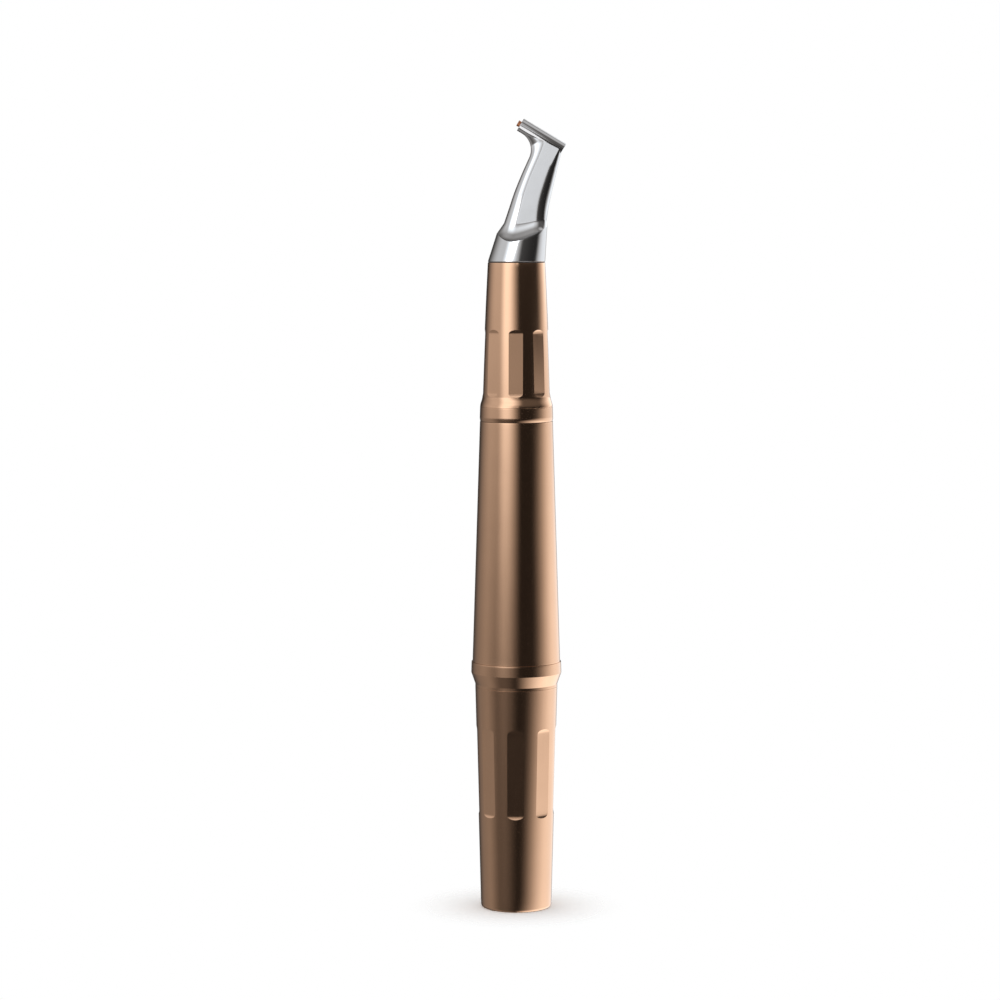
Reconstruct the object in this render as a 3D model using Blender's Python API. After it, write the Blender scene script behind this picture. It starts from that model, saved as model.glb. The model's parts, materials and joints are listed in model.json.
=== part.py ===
"""Powder-jet handpiece of a dental scaler: a bent chrome head on a slim bronze handle.

The long axis is Z. The rear rim is at z = 0, and the head is at the top, with its jet pointing
towards -X and up. Three groups turn on that axis: the handle is the middle one, the nozzle group
swivels in its front end, and the hose coupling turns round its tail.
"""

import math

import bmesh
import bpy
from mathutils import Vector

MM = 0.001

# Fits between pieces
SEAT_GAP = 0.10 * MM  # pieces that sit on each other
RUN_GAP = 0.10 * MM  # round a journal that turns
SEAM_GAP = 0.06 * MM  # neighbouring casings
HEAD_SEAM = 0.20 * MM  # between the front sleeve and the head
SEAL_GAP = 0.05 * MM  # a seal ring in its groove and bore
SWIVEL_GROOVE = 0.25 * MM  # between the handle and the nozzle group's collar
CUT_PAST = 0.20 * MM  # how far a drill passes the face it enters
EDGE_BREAK = 0.06 * MM  # chamfer on the casings' sharp edges
EDGE_DIP = 0.12 * MM  # how far the casings sink towards the swivel groove
EDGE_RUN = 0.85 * MM  # length of that dip on each side

# Facets of round pieces
OUTER_SIDES = 36
INNER_SIDES = 24
SMALL_SIDES = 12
RING_SECTION_SIDES = 6
BEND_STEPS = 6
ARC_STEPS = 3
SAME_PLACE = 0.0001 * MM  # points closer than this are one point
SMOOTH_BELOW = math.radians(30)  # edges that turn less than this are shaded smooth

# Hose coupling: a fluted union sleeve that turns on the tail block
RIM_RADIUS = 7.45 * MM
RIM_ROUND = 0.60 * MM
SLEEVE_TOP_RADIUS = 8.65 * MM
SLEEVE_LENGTH = 47.02 * MM
SLEEVE_WALL = 1.25 * MM
SLEEVE_FLANGE = 3.0 * MM
SOCKET_DEPTH = 22.0 * MM
REAR_FLUTE_START = 19.8 * MM
REAR_FLUTE_LENGTH = 19.0 * MM
REAR_FLUTE_WIDTH = 3.45 * MM
COUPLING_WASHER_THICKNESS = 0.5 * MM
COUPLING_WASHER_WIDTH = 1.9 * MM
SLEEVE_CLIP_THICKNESS = 0.7 * MM

# Tail: ring and connector block behind the handle
TAIL_RING_RADIUS = 9.5 * MM
TAIL_RING_LENGTH = 5.24 * MM
TAIL_RING_SLOPE = 2.7 * MM
TAIL_FLANGE_LENGTH = 5.5 * MM
TAIL_LEDGE = 0.85 * MM
SHANK_CLEARANCE = 0.9 * MM  # room for the clip between shank and sleeve

# Handle: the long tapered casing
HANDLE_LENGTH = 50.5 * MM
HANDLE_REAR_RADIUS = 9.37 * MM
HANDLE_FRONT_RADIUS = 7.64 * MM
HANDLE_FLARE = 0.15 * MM
HANDLE_FLARE_LENGTH = 6.0 * MM
HANDLE_WALL = 1.8 * MM

# Swivel inside the handle's front end
JOURNAL_RADIUS = 3.6 * MM
JOURNAL_DEPTH = 10.0 * MM  # how far the stem reaches into the housing
BUSH_LENGTH = 8.0 * MM
HOUSING_LENGTH = 14.0 * MM
HOUSING_FLOOR = 3.4 * MM
HOUSING_LEDGE = 0.7 * MM
THRUST_WASHER_THICKNESS = 0.5 * MM
STEM_CLIP_THICKNESS = 0.6 * MM
STEM_CLIP_WIDTH = 0.9 * MM
CLIP_GROOVE = 0.5 * MM
CLIP_OPENING = math.radians(50)
SEAL_THICKNESS = 0.7 * MM
STEM_SEAL_SPACING = 5.0 * MM
WIPER_INSET = 0.75 * MM
WIPER_THICKNESS = 0.5 * MM

# Nozzle group: collar, front sleeve and stem
COLLAR_RADIUS = 7.68 * MM
COLLAR_LENGTH = 2.85 * MM
COLLAR_WALL = 1.5 * MM
FRONT_LENGTH = 30.06 * MM
FRONT_BASE_RADIUS = 7.60 * MM
GRIP_RADIUS = 7.12 * MM
FRONT_TOP_RADIUS = 5.99 * MM
FRONT_FLARE_LENGTH = 2.3 * MM
FRONT_BOW = 0.25  # share of the front taper that falls towards the top
FRONT_WALL = 1.25 * MM
FLANGE_SOCKET = 3.0 * MM  # how far the stem's flange sits in the front sleeve
STEM_WALL = 1.1 * MM
FRONT_FLUTE_START = 2.2 * MM
FRONT_FLUTE_LENGTH = 14.0 * MM
FRONT_FLUTE_WIDTH = 2.97 * MM
FLUTE_COUNT = 8
FLUTE_TURN = math.radians(-1.5)
FLUTE_END_RADIUS = 2.3 * MM
FLUTE_END_ANGLE = math.radians(50)
FLUTE_CUT_SIDE = 0.6 * MM  # how far a flute's cutter passes its edges

# Fluid lines
JET_RADIUS = 0.63 * MM
JET_BORE_RADIUS = 0.40 * MM
JET_PROUD = 0.65 * MM
WATER_GAP = 0.22 * MM  # water runs between the powder tube and the head's passage
STEM_BORE_RADIUS = 1.2 * MM
POWDER_LINE_RADIUS = 1.5 * MM
POWDER_LINE_BORE = 1.0 * MM
WATER_LINE_RADIUS = 0.95 * MM
WATER_LINE_BORE = 0.6 * MM
WATER_OFFSET = 3.5 * MM
WATER_LINE_BEND = 40.0 * MM
LINE_INSERTION = 2.6 * MM
PORT_SEAL_DEPTH = 1.0 * MM
POWDER_PORT_SEAL = 0.7 * MM
WATER_PORT_SEAL = 0.6 * MM

# Head: a leaning cone, a flat-sided neck scooped out of it, and a cross barrel
SPIGOT_LENGTH = 8.0 * MM
SPIGOT_SEAL_DROP = 5.2 * MM
KNEE_RISE = 1.6 * MM
NECK_TILT = math.radians(16.8)
NECK_LENGTH = 24.2 * MM
CONE_LEAN = 0.19  # sideways lean of the cone, per unit of height
CONE_TAPER = 0.13  # loss of its radius, per unit of height
SCOOP_LOW = 4.2 * MM  # lowest height of the scoop's edge, on the flat sides
SCOOP_FRONT = 4.0 * MM  # how fast that edge climbs to the front
SCOOP_BACK = 1.8 * MM  # how fast it climbs to the back
SCOOP_POWER = 1.8  # how late it climbs
SCOOP_SHIFT = 0.38  # its lowest place, as a share of the cone's radius towards the front
FOOT_HEIGHT = 6.7 * MM  # height on the neck where its flats begin
FOOT_SLANT = 1.7 * MM  # how much later they begin at the back
FOOT_RISE = 0.4 * MM  # how much higher the neck begins in front
FOOT_FRONT = 0.3  # where that rise begins, as a share of the way to the front
CREASE_LEAN = math.radians(16)  # how steeply the scoop leaves the flats
FLAT_SHARE = 0.45  # share of the section's columns that the flats take
ROUND_POWER = 2.5  # form of the neck's rounded edges, where 2 is an ellipse
# Share of the neck's length, reach to the front and back, half thickness, rounding at the front and back
NECK_STATIONS = (
    (0.20, 4.36 * MM, 4.90 * MM, 2.85 * MM, 2.85 * MM, 3.00 * MM),
    (0.36, 4.24 * MM, 3.97 * MM, 2.56 * MM, 2.50 * MM, 3.00 * MM),
    (0.50, 4.14 * MM, 3.50 * MM, 2.30 * MM, 2.25 * MM, 2.90 * MM),
    (0.66, 3.78 * MM, 3.23 * MM, 2.01 * MM, 2.05 * MM, 2.55 * MM),
    (0.80, 3.34 * MM, 3.02 * MM, 1.75 * MM, 2.00 * MM, 2.05 * MM),
    (0.90, 3.02 * MM, 2.84 * MM, 1.57 * MM, 2.00 * MM, 1.45 * MM),
)
WEB_ROUND = 3.9 * MM  # fillet between the neck's front and the barrel
WEB_EDGE = 0.80 * MM  # rounding of the web's back edge at the barrel
WEB_BURIED = 0.3  # share of the barrel's radius by which the web goes on inside it
WEB_NOSE_LIMIT = 0.92  # most of the way to the barrel's axis that the rounded front edge takes
WEB_FLAT_LIMIT = 0.2  # below this cosine an arm no longer meets the line where the flat begins
BARREL_RADIUS = 1.44 * MM
BARREL_TILT = math.radians(30.6)
BARREL_FRONT = 7.3 * MM
BARREL_REAR = 3.15 * MM
BARREL_EDGE = 0.18 * MM
PLUG_LENGTH = 1.5 * MM
KNEE_BEND = 12.0 * MM
ELBOW_BEND = 2.0 * MM
HEAD_SIDES = 32
SLOPE_STEPS = 5
FLARE_STEPS = 4
SCOOP_STEPS = 5
NECK_STEPS = 7
WEB_STEPS = 5

# Heights of the casings, from the rear rim up
Z_RING = SLEEVE_LENGTH + SEAM_GAP
Z_HANDLE = Z_RING + TAIL_RING_LENGTH + SEAM_GAP
Z_HANDLE_FRONT = Z_HANDLE + HANDLE_LENGTH
Z_COLLAR = Z_HANDLE_FRONT + SWIVEL_GROOVE
Z_FRONT = Z_COLLAR + COLLAR_LENGTH + SEAM_GAP
Z_HEAD = Z_FRONT + FRONT_LENGTH + HEAD_SEAM

# Radii that follow from the casings
SOCKET_RADIUS = RIM_RADIUS - SLEEVE_WALL
SHANK_RADIUS = SOCKET_RADIUS - SHANK_CLEARANCE
TAIL_BORE_RADIUS = HANDLE_REAR_RADIUS - HANDLE_WALL
TAIL_FLANGE_RADIUS = TAIL_BORE_RADIUS - SEAT_GAP
TAIL_THREAD_RADIUS = TAIL_FLANGE_RADIUS - TAIL_LEDGE
FRONT_BORE_RADIUS = HANDLE_FRONT_RADIUS - HANDLE_WALL - SEAT_GAP
BUSH_RADIUS = FRONT_BORE_RADIUS - SEAT_GAP
STEM_FLANGE_RADIUS = COLLAR_RADIUS - COLLAR_WALL - SEAT_GAP
STEM_RADIUS = FRONT_TOP_RADIUS - FRONT_WALL - SEAT_GAP
SPIGOT_RADIUS = STEM_RADIUS - STEM_WALL - SEAT_GAP
PASSAGE_RADIUS = JET_RADIUS + WATER_GAP
WIPER_RADIUS = HANDLE_FRONT_RADIUS - WIPER_INSET

# Heights of the inner pieces
Z_BUSH = Z_HANDLE_FRONT - BUSH_LENGTH
Z_THRUST_WASHER = Z_BUSH + BUSH_LENGTH + SEAT_GAP
Z_STEM_FLANGE = Z_THRUST_WASHER + THRUST_WASHER_THICKNESS + SEAT_GAP
Z_STEM_CLIP = Z_BUSH - SEAT_GAP - STEM_CLIP_THICKNESS
Z_HOUSING_TOP = Z_STEM_CLIP - 2 * SEAT_GAP
Z_HOUSING = Z_HOUSING_TOP - HOUSING_LENGTH
Z_STEM = Z_HOUSING_TOP - JOURNAL_DEPTH
Z_STEM_SHOULDER = Z_FRONT + FLANGE_SOCKET - SEAT_GAP
Z_STEM_TOP = Z_HEAD - SEAT_GAP
Z_TAIL_FLANGE = Z_HANDLE - SEAM_GAP + SEAT_GAP
Z_TAIL_TOP = Z_TAIL_FLANGE + TAIL_FLANGE_LENGTH
Z_COUPLING_WASHER = Z_RING - SEAT_GAP - COUPLING_WASHER_THICKNESS
Z_SLEEVE_FLANGE = Z_COUPLING_WASHER - SEAT_GAP - SLEEVE_FLANGE
Z_SLEEVE_CLIP = Z_SLEEVE_FLANGE - SEAT_GAP - SLEEVE_CLIP_THICKNESS

# Points and directions of the head, in the plane of its bend
NECK_UP = Vector((math.sin(NECK_TILT), 0, math.cos(NECK_TILT)))
NECK_BACKWARD = Vector((math.cos(NECK_TILT), 0, -math.sin(NECK_TILT)))
SIDEWAYS = Vector((0, 1, 0))
JET_WAY = Vector((-math.cos(BARREL_TILT), 0, math.sin(BARREL_TILT)))
BARREL_UP = Vector((math.sin(BARREL_TILT), 0, math.cos(BARREL_TILT)))
KNEE = Vector((0, 0, Z_HEAD + KNEE_RISE))
ELBOW = KNEE + NECK_UP * NECK_LENGTH
BARREL_TIP = ELBOW + JET_WAY * BARREL_FRONT
BARREL_END = ELBOW - JET_WAY * BARREL_REAR


def clear_scene():
    for obj in list(bpy.data.objects):
        bpy.data.objects.remove(obj, do_unlink=True)


def make_material(name, colour, roughness, metallic):
    material = bpy.data.materials.new(name)
    material.use_nodes = True
    shader = material.node_tree.nodes["Principled BSDF"]
    shader.inputs["Base Color"].default_value = (*colour, 1)
    shader.inputs["Roughness"].default_value = roughness
    shader.inputs["Metallic"].default_value = metallic
    return material


def make_empty(name, height):
    empty = bpy.data.objects.new(name, None)
    empty.location.z = height
    bpy.context.scene.collection.objects.link(empty)
    return empty


def finish_mesh(name, bm, group=None, material=None):
    """Closes a bmesh into an object. Without a group it is a cutter, which isn't part of the model."""
    bmesh.ops.recalc_face_normals(bm, faces=bm.faces)
    mesh = bpy.data.meshes.new(name)
    bm.to_mesh(mesh)
    bm.free()
    obj = bpy.data.objects.new(name, mesh)
    bpy.context.scene.collection.objects.link(obj)
    if group is None:
        obj.hide_render = True
        obj.display_type = "WIRE"
        return obj
    obj.parent = group
    obj.location.z = -group.location.z
    mesh.materials.append(material)
    mesh.shade_smooth()
    mesh.set_sharp_from_angle(angle=SMOOTH_BELOW)
    return obj


def cut(obj, cutter, operation="DIFFERENCE"):
    boolean = obj.modifiers.new(cutter.name, "BOOLEAN")
    boolean.operation = operation
    boolean.object = cutter


def turned(name, profile, sides, group=None, material=None, offset=0.0, sweep=2 * math.pi):
    """Spins (radius, height) points about Z. A profile that starts on the axis is left open there."""
    bm = bmesh.new()
    points = [bm.verts.new((radius, 0, height)) for radius, height in profile]
    for first, second in zip(points, points[1:]):
        bm.edges.new((first, second))
    if profile[0][0] > 0:
        bm.edges.new((points[-1], points[0]))
    whole = sweep >= 2 * math.pi
    bmesh.ops.spin(
        bm, geom=bm.verts[:] + bm.edges[:], cent=(0, 0, 0), axis=(0, 0, 1),
        angle=sweep, steps=sides, use_merge=whole,
    )
    bmesh.ops.remove_doubles(bm, verts=bm.verts, dist=SAME_PLACE)
    if not whole:
        bmesh.ops.holes_fill(bm, edges=[e for e in bm.edges if e.is_boundary], sides=0)
    bmesh.ops.translate(bm, verts=bm.verts, vec=(offset, 0, 0))
    return finish_mesh(name, bm, group, material)


def plain_ring(name, inner, outer, base, thickness, group, material, sides=INNER_SIDES, sweep=2 * math.pi):
    profile = [(inner, base), (outer, base), (outer, base + thickness), (inner, base + thickness)]
    return turned(name, profile, sides, group, material, sweep=sweep)


def seal_ring(name, inner, thickness, height, group, material, sides=INNER_SIDES, offset=0.0):
    """A round-section sealing ring whose hole has the inner radius."""
    half = thickness / 2
    profile = []
    for step in range(RING_SECTION_SIDES):
        angle = 2 * math.pi * step / RING_SECTION_SIDES
        profile.append((inner + half + half * math.cos(angle), height + half * math.sin(angle)))
    return turned(name, profile, sides, group, material, offset)


def arc(centre, radius, start, end, steps=ARC_STEPS):
    """(radius, height) points on an arc, with angles from the outward direction."""
    angles = [math.radians(start + (end - start) * step / steps) for step in range(steps + 1)]
    return [(centre[0] + radius * math.cos(a), centre[1] + radius * math.sin(a)) for a in angles]


def eased(start, end, share):
    """A smooth step from start to end."""
    return start + (end - start) * (1 - math.cos(math.pi * share)) / 2


def swept(name, path, radius, bore=0.0, sides=SMALL_SIDES, group=None, material=None):
    """A tube along a path in the plane of the bend. With a bore it is hollow and open at both ends."""
    stops = len(path)
    across = []
    for index, point in enumerate(path):
        along = path[min(index + 1, stops - 1)] - path[max(index - 1, 0)]
        across.append(along.cross(SIDEWAYS).normalized())

    def ring(index, reach):
        turns = [2 * math.pi * side / sides for side in range(sides)]
        return [path[index] + (across[index] * math.cos(a) + SIDEWAYS * math.sin(a)) * reach for a in turns]

    rings = [ring(index, radius) for index in range(stops)]
    if bore:
        rings += [ring(index, bore) for index in reversed(range(stops))]
    return finish_mesh(name, lofted(rings, closed=bool(bore)), group, material)


def lofted(rings, closed=False):
    """Extrudes one ring of points through the others, and caps the ends unless it closes on itself."""
    bm = bmesh.new()
    ring = bmesh.ops.create_circle(bm, cap_ends=False, radius=1, segments=len(rings[0]))["verts"]
    for vert, point in zip(ring, rings[0]):
        vert.co = point
    first = ring
    for points in rings[1:]:
        edges = [bm.edges.get((ring[i - 1], ring[i])) for i in range(len(ring))]
        made = bmesh.ops.extrude_edge_only(bm, edges=edges)["geom"]
        fresh = {vert for vert in made if isinstance(vert, bmesh.types.BMVert)}
        ring = [next(e.other_vert(v) for e in v.link_edges if e.other_vert(v) in fresh) for v in ring]
        for vert, point in zip(ring, points):
            vert.co = point
    if closed:
        for i in range(len(ring)):
            bm.faces.new((first[i - 1], first[i], ring[i], ring[i - 1]))
    else:
        bm.faces.new(first)
        bm.faces.new(ring)
    return bm


def swung(start, end, share):
    """An arm turned part of the way from start to end, at the length of start."""
    return start.normalized().slerp(end.normalized(), share) * start.length


def rounded_path(corners, bends, steps=BEND_STEPS):
    """A line through corners, with an arc of the given radius at each inner one."""
    path = [corners[0]]
    for before, corner, after, radius in zip(corners, corners[1:], corners[2:], bends):
        back = (before - corner).normalized()
        ahead = (after - corner).normalized()
        half = back.angle(ahead) / 2
        centre = corner + (back + ahead).normalized() * (radius / math.sin(half))
        start = corner + back * (radius / math.tan(half)) - centre
        end = corner + ahead * (radius / math.tan(half)) - centre
        path += [centre + swung(start, end, step / steps) for step in range(steps + 1)]
    return path + [corners[-1]]


def flute_cutter(name, casing_radius, base, start, length, width):
    """Flat flutes of one width round a sleeve, whose floors follow its taper and run out at both ends."""
    half = width / 2

    def floor(height):
        return Vector((math.sqrt(casing_radius(height) ** 2 - half**2), height))

    depth = casing_radius(start) - floor(start).x
    run_out = math.sqrt(2 * FLUTE_END_RADIUS * depth)
    stops = [start + run_out + (length - 2 * run_out) * step / ARC_STEPS for step in range(ARC_STEPS + 1)]
    outline = [floor(height) for height in stops]
    angles = [FLUTE_END_ANGLE * (step + 1) / ARC_STEPS for step in range(ARC_STEPS)]
    for last, before in ((outline[0], outline[1]), (outline[-1], outline[-2])):
        way = (last - before).normalized()
        out = Vector((abs(way.y), -way.x * math.copysign(1, way.y)))
        ramp = [last + (way * math.sin(a) + out * (1 - math.cos(a))) * FLUTE_END_RADIUS for a in angles]
        outline = outline + ramp if way.y > 0 else ramp[::-1] + outline
    bm = bmesh.new()
    reach = half + FLUTE_CUT_SIDE
    for flute in range(FLUTE_COUNT):
        turn = FLUTE_TURN + 2 * math.pi * flute / FLUTE_COUNT - math.pi / 2
        out = Vector((math.cos(turn), math.sin(turn), 0))
        along = Vector((-math.sin(turn), math.cos(turn), 0))
        corners = [bm.verts.new(out * r - along * reach + Vector((0, 0, base + z))) for r, z in outline]
        made = bmesh.ops.extrude_face_region(bm, geom=[bm.faces.new(corners)])["geom"]
        moved = [vert for vert in made if isinstance(vert, bmesh.types.BMVert)]
        bmesh.ops.translate(bm, verts=moved, vec=along * 2 * reach)
    return finish_mesh(name, bm)


# Hose coupling


def sleeve_radius(height):
    return RIM_RADIUS + (SLEEVE_TOP_RADIUS - RIM_RADIUS) * height / SLEEVE_LENGTH


def make_coupling(group, bronze):
    round_off = min(RIM_ROUND, SLEEVE_WALL / 2)
    washer_room = SHANK_RADIUS + RUN_GAP + COUPLING_WASHER_WIDTH + 2 * SEAT_GAP
    profile = [(SOCKET_RADIUS, EDGE_BREAK), (SOCKET_RADIUS + EDGE_BREAK, 0)]
    profile += arc((RIM_RADIUS - round_off, round_off), round_off, -90, 0)
    profile += [
        (sleeve_radius(REAR_FLUTE_START), REAR_FLUTE_START),
        (sleeve_radius(REAR_FLUTE_START + REAR_FLUTE_LENGTH), REAR_FLUTE_START + REAR_FLUTE_LENGTH),
        (SLEEVE_TOP_RADIUS, SLEEVE_LENGTH - EDGE_BREAK),
        (SLEEVE_TOP_RADIUS - EDGE_BREAK, SLEEVE_LENGTH),
        (washer_room, SLEEVE_LENGTH),
        (washer_room, Z_COUPLING_WASHER - SEAT_GAP),
        (SHANK_RADIUS + RUN_GAP, Z_COUPLING_WASHER - SEAT_GAP),
        (SHANK_RADIUS + RUN_GAP, Z_SLEEVE_FLANGE),
        (SOCKET_RADIUS, Z_SLEEVE_FLANGE),
    ]
    sleeve = turned("coupling_sleeve", profile, OUTER_SIDES, group, bronze)
    flutes = (REAR_FLUTE_START, REAR_FLUTE_LENGTH, REAR_FLUTE_WIDTH)
    cut(sleeve, flute_cutter("rear_flute_cutter", sleeve_radius, 0, *flutes))


# Tail of the handle


def make_tail(group, materials):
    bronze, steel, rubber, polymer = (materials[key] for key in ("bronze", "steel", "rubber", "polymer"))
    shares = [step / SLOPE_STEPS for step in range(SLOPE_STEPS + 1)]
    radii = [eased(SLEEVE_TOP_RADIUS, TAIL_RING_RADIUS, share) for share in shares]
    slope = [(radius, Z_RING + TAIL_RING_SLOPE * share) for radius, share in zip(radii, shares)]
    ring_top = Z_RING + TAIL_RING_LENGTH
    bore = TAIL_THREAD_RADIUS + SEAT_GAP
    top = [(TAIL_RING_RADIUS, ring_top - EDGE_BREAK), (TAIL_RING_RADIUS - EDGE_BREAK, ring_top)]
    turned("tail_ring", [(bore, Z_RING), *slope, *top, (bore, ring_top)], OUTER_SIDES, group, bronze)

    seal_height = Z_TAIL_FLANGE + TAIL_FLANGE_LENGTH / 2
    seal_room = SEAL_THICKNESS / 2 + SEAL_GAP
    seal_floor = TAIL_BORE_RADIUS - SEAL_THICKNESS - 2 * SEAL_GAP
    clip_floor = SHANK_RADIUS - CLIP_GROOVE
    profile = [
        (POWDER_LINE_BORE, SOCKET_DEPTH + PORT_SEAL_DEPTH),
        (POWDER_LINE_BORE + POWDER_PORT_SEAL + SEAL_GAP, SOCKET_DEPTH + PORT_SEAL_DEPTH),
        (POWDER_LINE_BORE + POWDER_PORT_SEAL + SEAL_GAP, SOCKET_DEPTH),
        (SHANK_RADIUS, SOCKET_DEPTH),
        (SHANK_RADIUS, Z_SLEEVE_CLIP - SEAL_GAP),
        (clip_floor, Z_SLEEVE_CLIP - SEAL_GAP),
        (clip_floor, Z_SLEEVE_CLIP + SLEEVE_CLIP_THICKNESS + SEAL_GAP),
        (SHANK_RADIUS, Z_SLEEVE_CLIP + SLEEVE_CLIP_THICKNESS + SEAL_GAP),
        (SHANK_RADIUS, Z_RING),
        (TAIL_THREAD_RADIUS, Z_RING),
        (TAIL_THREAD_RADIUS, Z_TAIL_FLANGE),
        (TAIL_FLANGE_RADIUS, Z_TAIL_FLANGE),
        (TAIL_FLANGE_RADIUS, seal_height - seal_room),
        (seal_floor, seal_height - seal_room),
        (seal_floor, seal_height + seal_room),
        (TAIL_FLANGE_RADIUS, seal_height + seal_room),
        (TAIL_FLANGE_RADIUS, Z_TAIL_TOP),
        (POWDER_LINE_RADIUS + SEAT_GAP, Z_TAIL_TOP),
        (POWDER_LINE_RADIUS + SEAT_GAP, Z_TAIL_TOP - LINE_INSERTION),
        (POWDER_LINE_BORE, Z_TAIL_TOP - LINE_INSERTION),
    ]
    block = turned("tail_block", profile, INNER_SIDES, group, steel)
    water_seat = WATER_LINE_BORE + WATER_PORT_SEAL + SEAL_GAP
    drill = [
        (0, SOCKET_DEPTH - CUT_PAST),
        (water_seat, SOCKET_DEPTH - CUT_PAST),
        (water_seat, SOCKET_DEPTH + PORT_SEAL_DEPTH),
        (WATER_LINE_BORE, SOCKET_DEPTH + PORT_SEAL_DEPTH),
        (WATER_LINE_BORE, Z_TAIL_TOP - LINE_INSERTION),
        (WATER_LINE_RADIUS + SEAT_GAP, Z_TAIL_TOP - LINE_INSERTION),
        (WATER_LINE_RADIUS + SEAT_GAP, Z_TAIL_TOP + CUT_PAST),
        (0, Z_TAIL_TOP + CUT_PAST),
    ]
    cut(block, turned("tail_water_drill", drill, SMALL_SIDES, offset=WATER_OFFSET))

    seal_ring("tail_seal", seal_floor + SEAL_GAP, SEAL_THICKNESS, seal_height, group, rubber)
    port_height = SOCKET_DEPTH + PORT_SEAL_DEPTH / 2
    seal_ring(
        "powder_port_seal", POWDER_LINE_BORE, POWDER_PORT_SEAL, port_height, group, rubber, SMALL_SIDES
    )
    seal_ring(
        "water_port_seal", WATER_LINE_BORE, WATER_PORT_SEAL, port_height, group, rubber, SMALL_SIDES,
        WATER_OFFSET,
    )
    washer_bore = SHANK_RADIUS + RUN_GAP
    plain_ring(
        "coupling_washer", washer_bore, washer_bore + COUPLING_WASHER_WIDTH, Z_COUPLING_WASHER,
        COUPLING_WASHER_THICKNESS, group, polymer,
    )
    plain_ring(
        "sleeve_clip", clip_floor + SEAL_GAP, SOCKET_RADIUS - 2 * RUN_GAP, Z_SLEEVE_CLIP,
        SLEEVE_CLIP_THICKNESS, group, steel, sweep=2 * math.pi - CLIP_OPENING,
    )


# Handle and the still half of the swivel


def handle_radius(height):
    """The casing's outer radius: a straight taper with a slight flare at the rear."""
    straight_rear = HANDLE_REAR_RADIUS - HANDLE_FLARE
    straight = straight_rear + (HANDLE_FRONT_RADIUS - straight_rear) * height / HANDLE_LENGTH
    flare = max(0.0, 1 - height / HANDLE_FLARE_LENGTH)
    return straight + HANDLE_FLARE * flare**2


def groove_edge(radius):
    """(radius, depth) points of a casing that dips towards the swivel groove, from full to the groove."""
    shares = [step / ARC_STEPS for step in range(ARC_STEPS + 1)]
    return [(radius - EDGE_DIP * share**2, EDGE_RUN * (1 - share)) for share in shares]


def make_handle(group, materials):
    bronze, steel, rubber, polymer = (materials[key] for key in ("bronze", "steel", "rubber", "polymer"))
    flare_heights = [HANDLE_FLARE_LENGTH * (step + 1) / ARC_STEPS for step in range(ARC_STEPS)]
    outside = [(HANDLE_REAR_RADIUS - EDGE_BREAK, Z_HANDLE), (HANDLE_REAR_RADIUS, Z_HANDLE + EDGE_BREAK)]
    outside += [(handle_radius(height), Z_HANDLE + height) for height in flare_heights]
    outside += [(radius, Z_HANDLE_FRONT - height) for radius, height in groove_edge(HANDLE_FRONT_RADIUS)]
    ledge = Z_HOUSING - SEAT_GAP
    waist = FRONT_BORE_RADIUS - HOUSING_LEDGE
    inside = [
        (FRONT_BORE_RADIUS, Z_HANDLE_FRONT),
        (FRONT_BORE_RADIUS, ledge),
        (waist, ledge),
        (waist, ledge - HOUSING_FLOOR),
        (TAIL_FLANGE_RADIUS - HOUSING_LEDGE, Z_TAIL_TOP + HOUSING_FLOOR),
        (TAIL_FLANGE_RADIUS - HOUSING_LEDGE, Z_TAIL_TOP + SEAT_GAP),
        (TAIL_BORE_RADIUS, Z_TAIL_TOP + SEAT_GAP),
        (TAIL_BORE_RADIUS, Z_HANDLE),
    ]
    turned("handle_body", outside + inside, OUTER_SIDES, group, bronze)

    run = JOURNAL_RADIUS + RUN_GAP
    plain_ring("front_bush", run, BUSH_RADIUS, Z_BUSH, BUSH_LENGTH, group, polymer)
    plain_ring(
        "thrust_washer", run, STEM_FLANGE_RADIUS, Z_THRUST_WASHER, THRUST_WASHER_THICKNESS, group, polymer
    )
    wiper_height = Z_HANDLE_FRONT + SEAL_GAP + WIPER_THICKNESS / 2
    seal_ring("wiper_ring", WIPER_RADIUS - WIPER_THICKNESS, WIPER_THICKNESS, wiper_height, group, rubber)

    floor = Z_STEM - 2 * SEAT_GAP
    line_room = POWDER_LINE_RADIUS + SEAT_GAP
    profile = [
        (POWDER_LINE_BORE, Z_HOUSING + LINE_INSERTION),
        (line_room, Z_HOUSING + LINE_INSERTION),
        (line_room, Z_HOUSING),
        (BUSH_RADIUS, Z_HOUSING),
        (BUSH_RADIUS, Z_HOUSING_TOP),
        (run, Z_HOUSING_TOP),
        (run, floor),
        (POWDER_LINE_BORE, floor),
    ]
    housing = turned("swivel_housing", profile, INNER_SIDES, group, steel)
    water_room = WATER_LINE_RADIUS + SEAT_GAP
    drill = [
        (0, Z_HOUSING - CUT_PAST),
        (water_room, Z_HOUSING - CUT_PAST),
        (water_room, Z_HOUSING + LINE_INSERTION),
        (WATER_LINE_BORE, Z_HOUSING + LINE_INSERTION),
        (WATER_LINE_BORE, floor + CUT_PAST),
        (0, floor + CUT_PAST),
    ]
    cut(housing, turned("housing_water_drill", drill, SMALL_SIDES, offset=WATER_OFFSET - WATER_LINE_BORE))

    start = Z_TAIL_TOP - LINE_INSERTION + SEAT_GAP
    end = Z_HOUSING + LINE_INSERTION - SEAT_GAP
    bores = (POWDER_LINE_BORE, POWDER_LINE_RADIUS)
    plain_ring("powder_line", *bores, start, end - start, group, steel, SMALL_SIDES)
    lower = Vector((WATER_OFFSET, 0, start))
    upper = Vector((WATER_OFFSET - WATER_LINE_BORE, 0, end))
    straight = Vector((0, 0, 2 * LINE_INSERTION))
    path = rounded_path([lower, lower + straight, upper - straight, upper], [WATER_LINE_BEND] * 2, ARC_STEPS)
    swept("water_line", path, WATER_LINE_RADIUS, WATER_LINE_BORE, SMALL_SIDES, group, steel)


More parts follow.
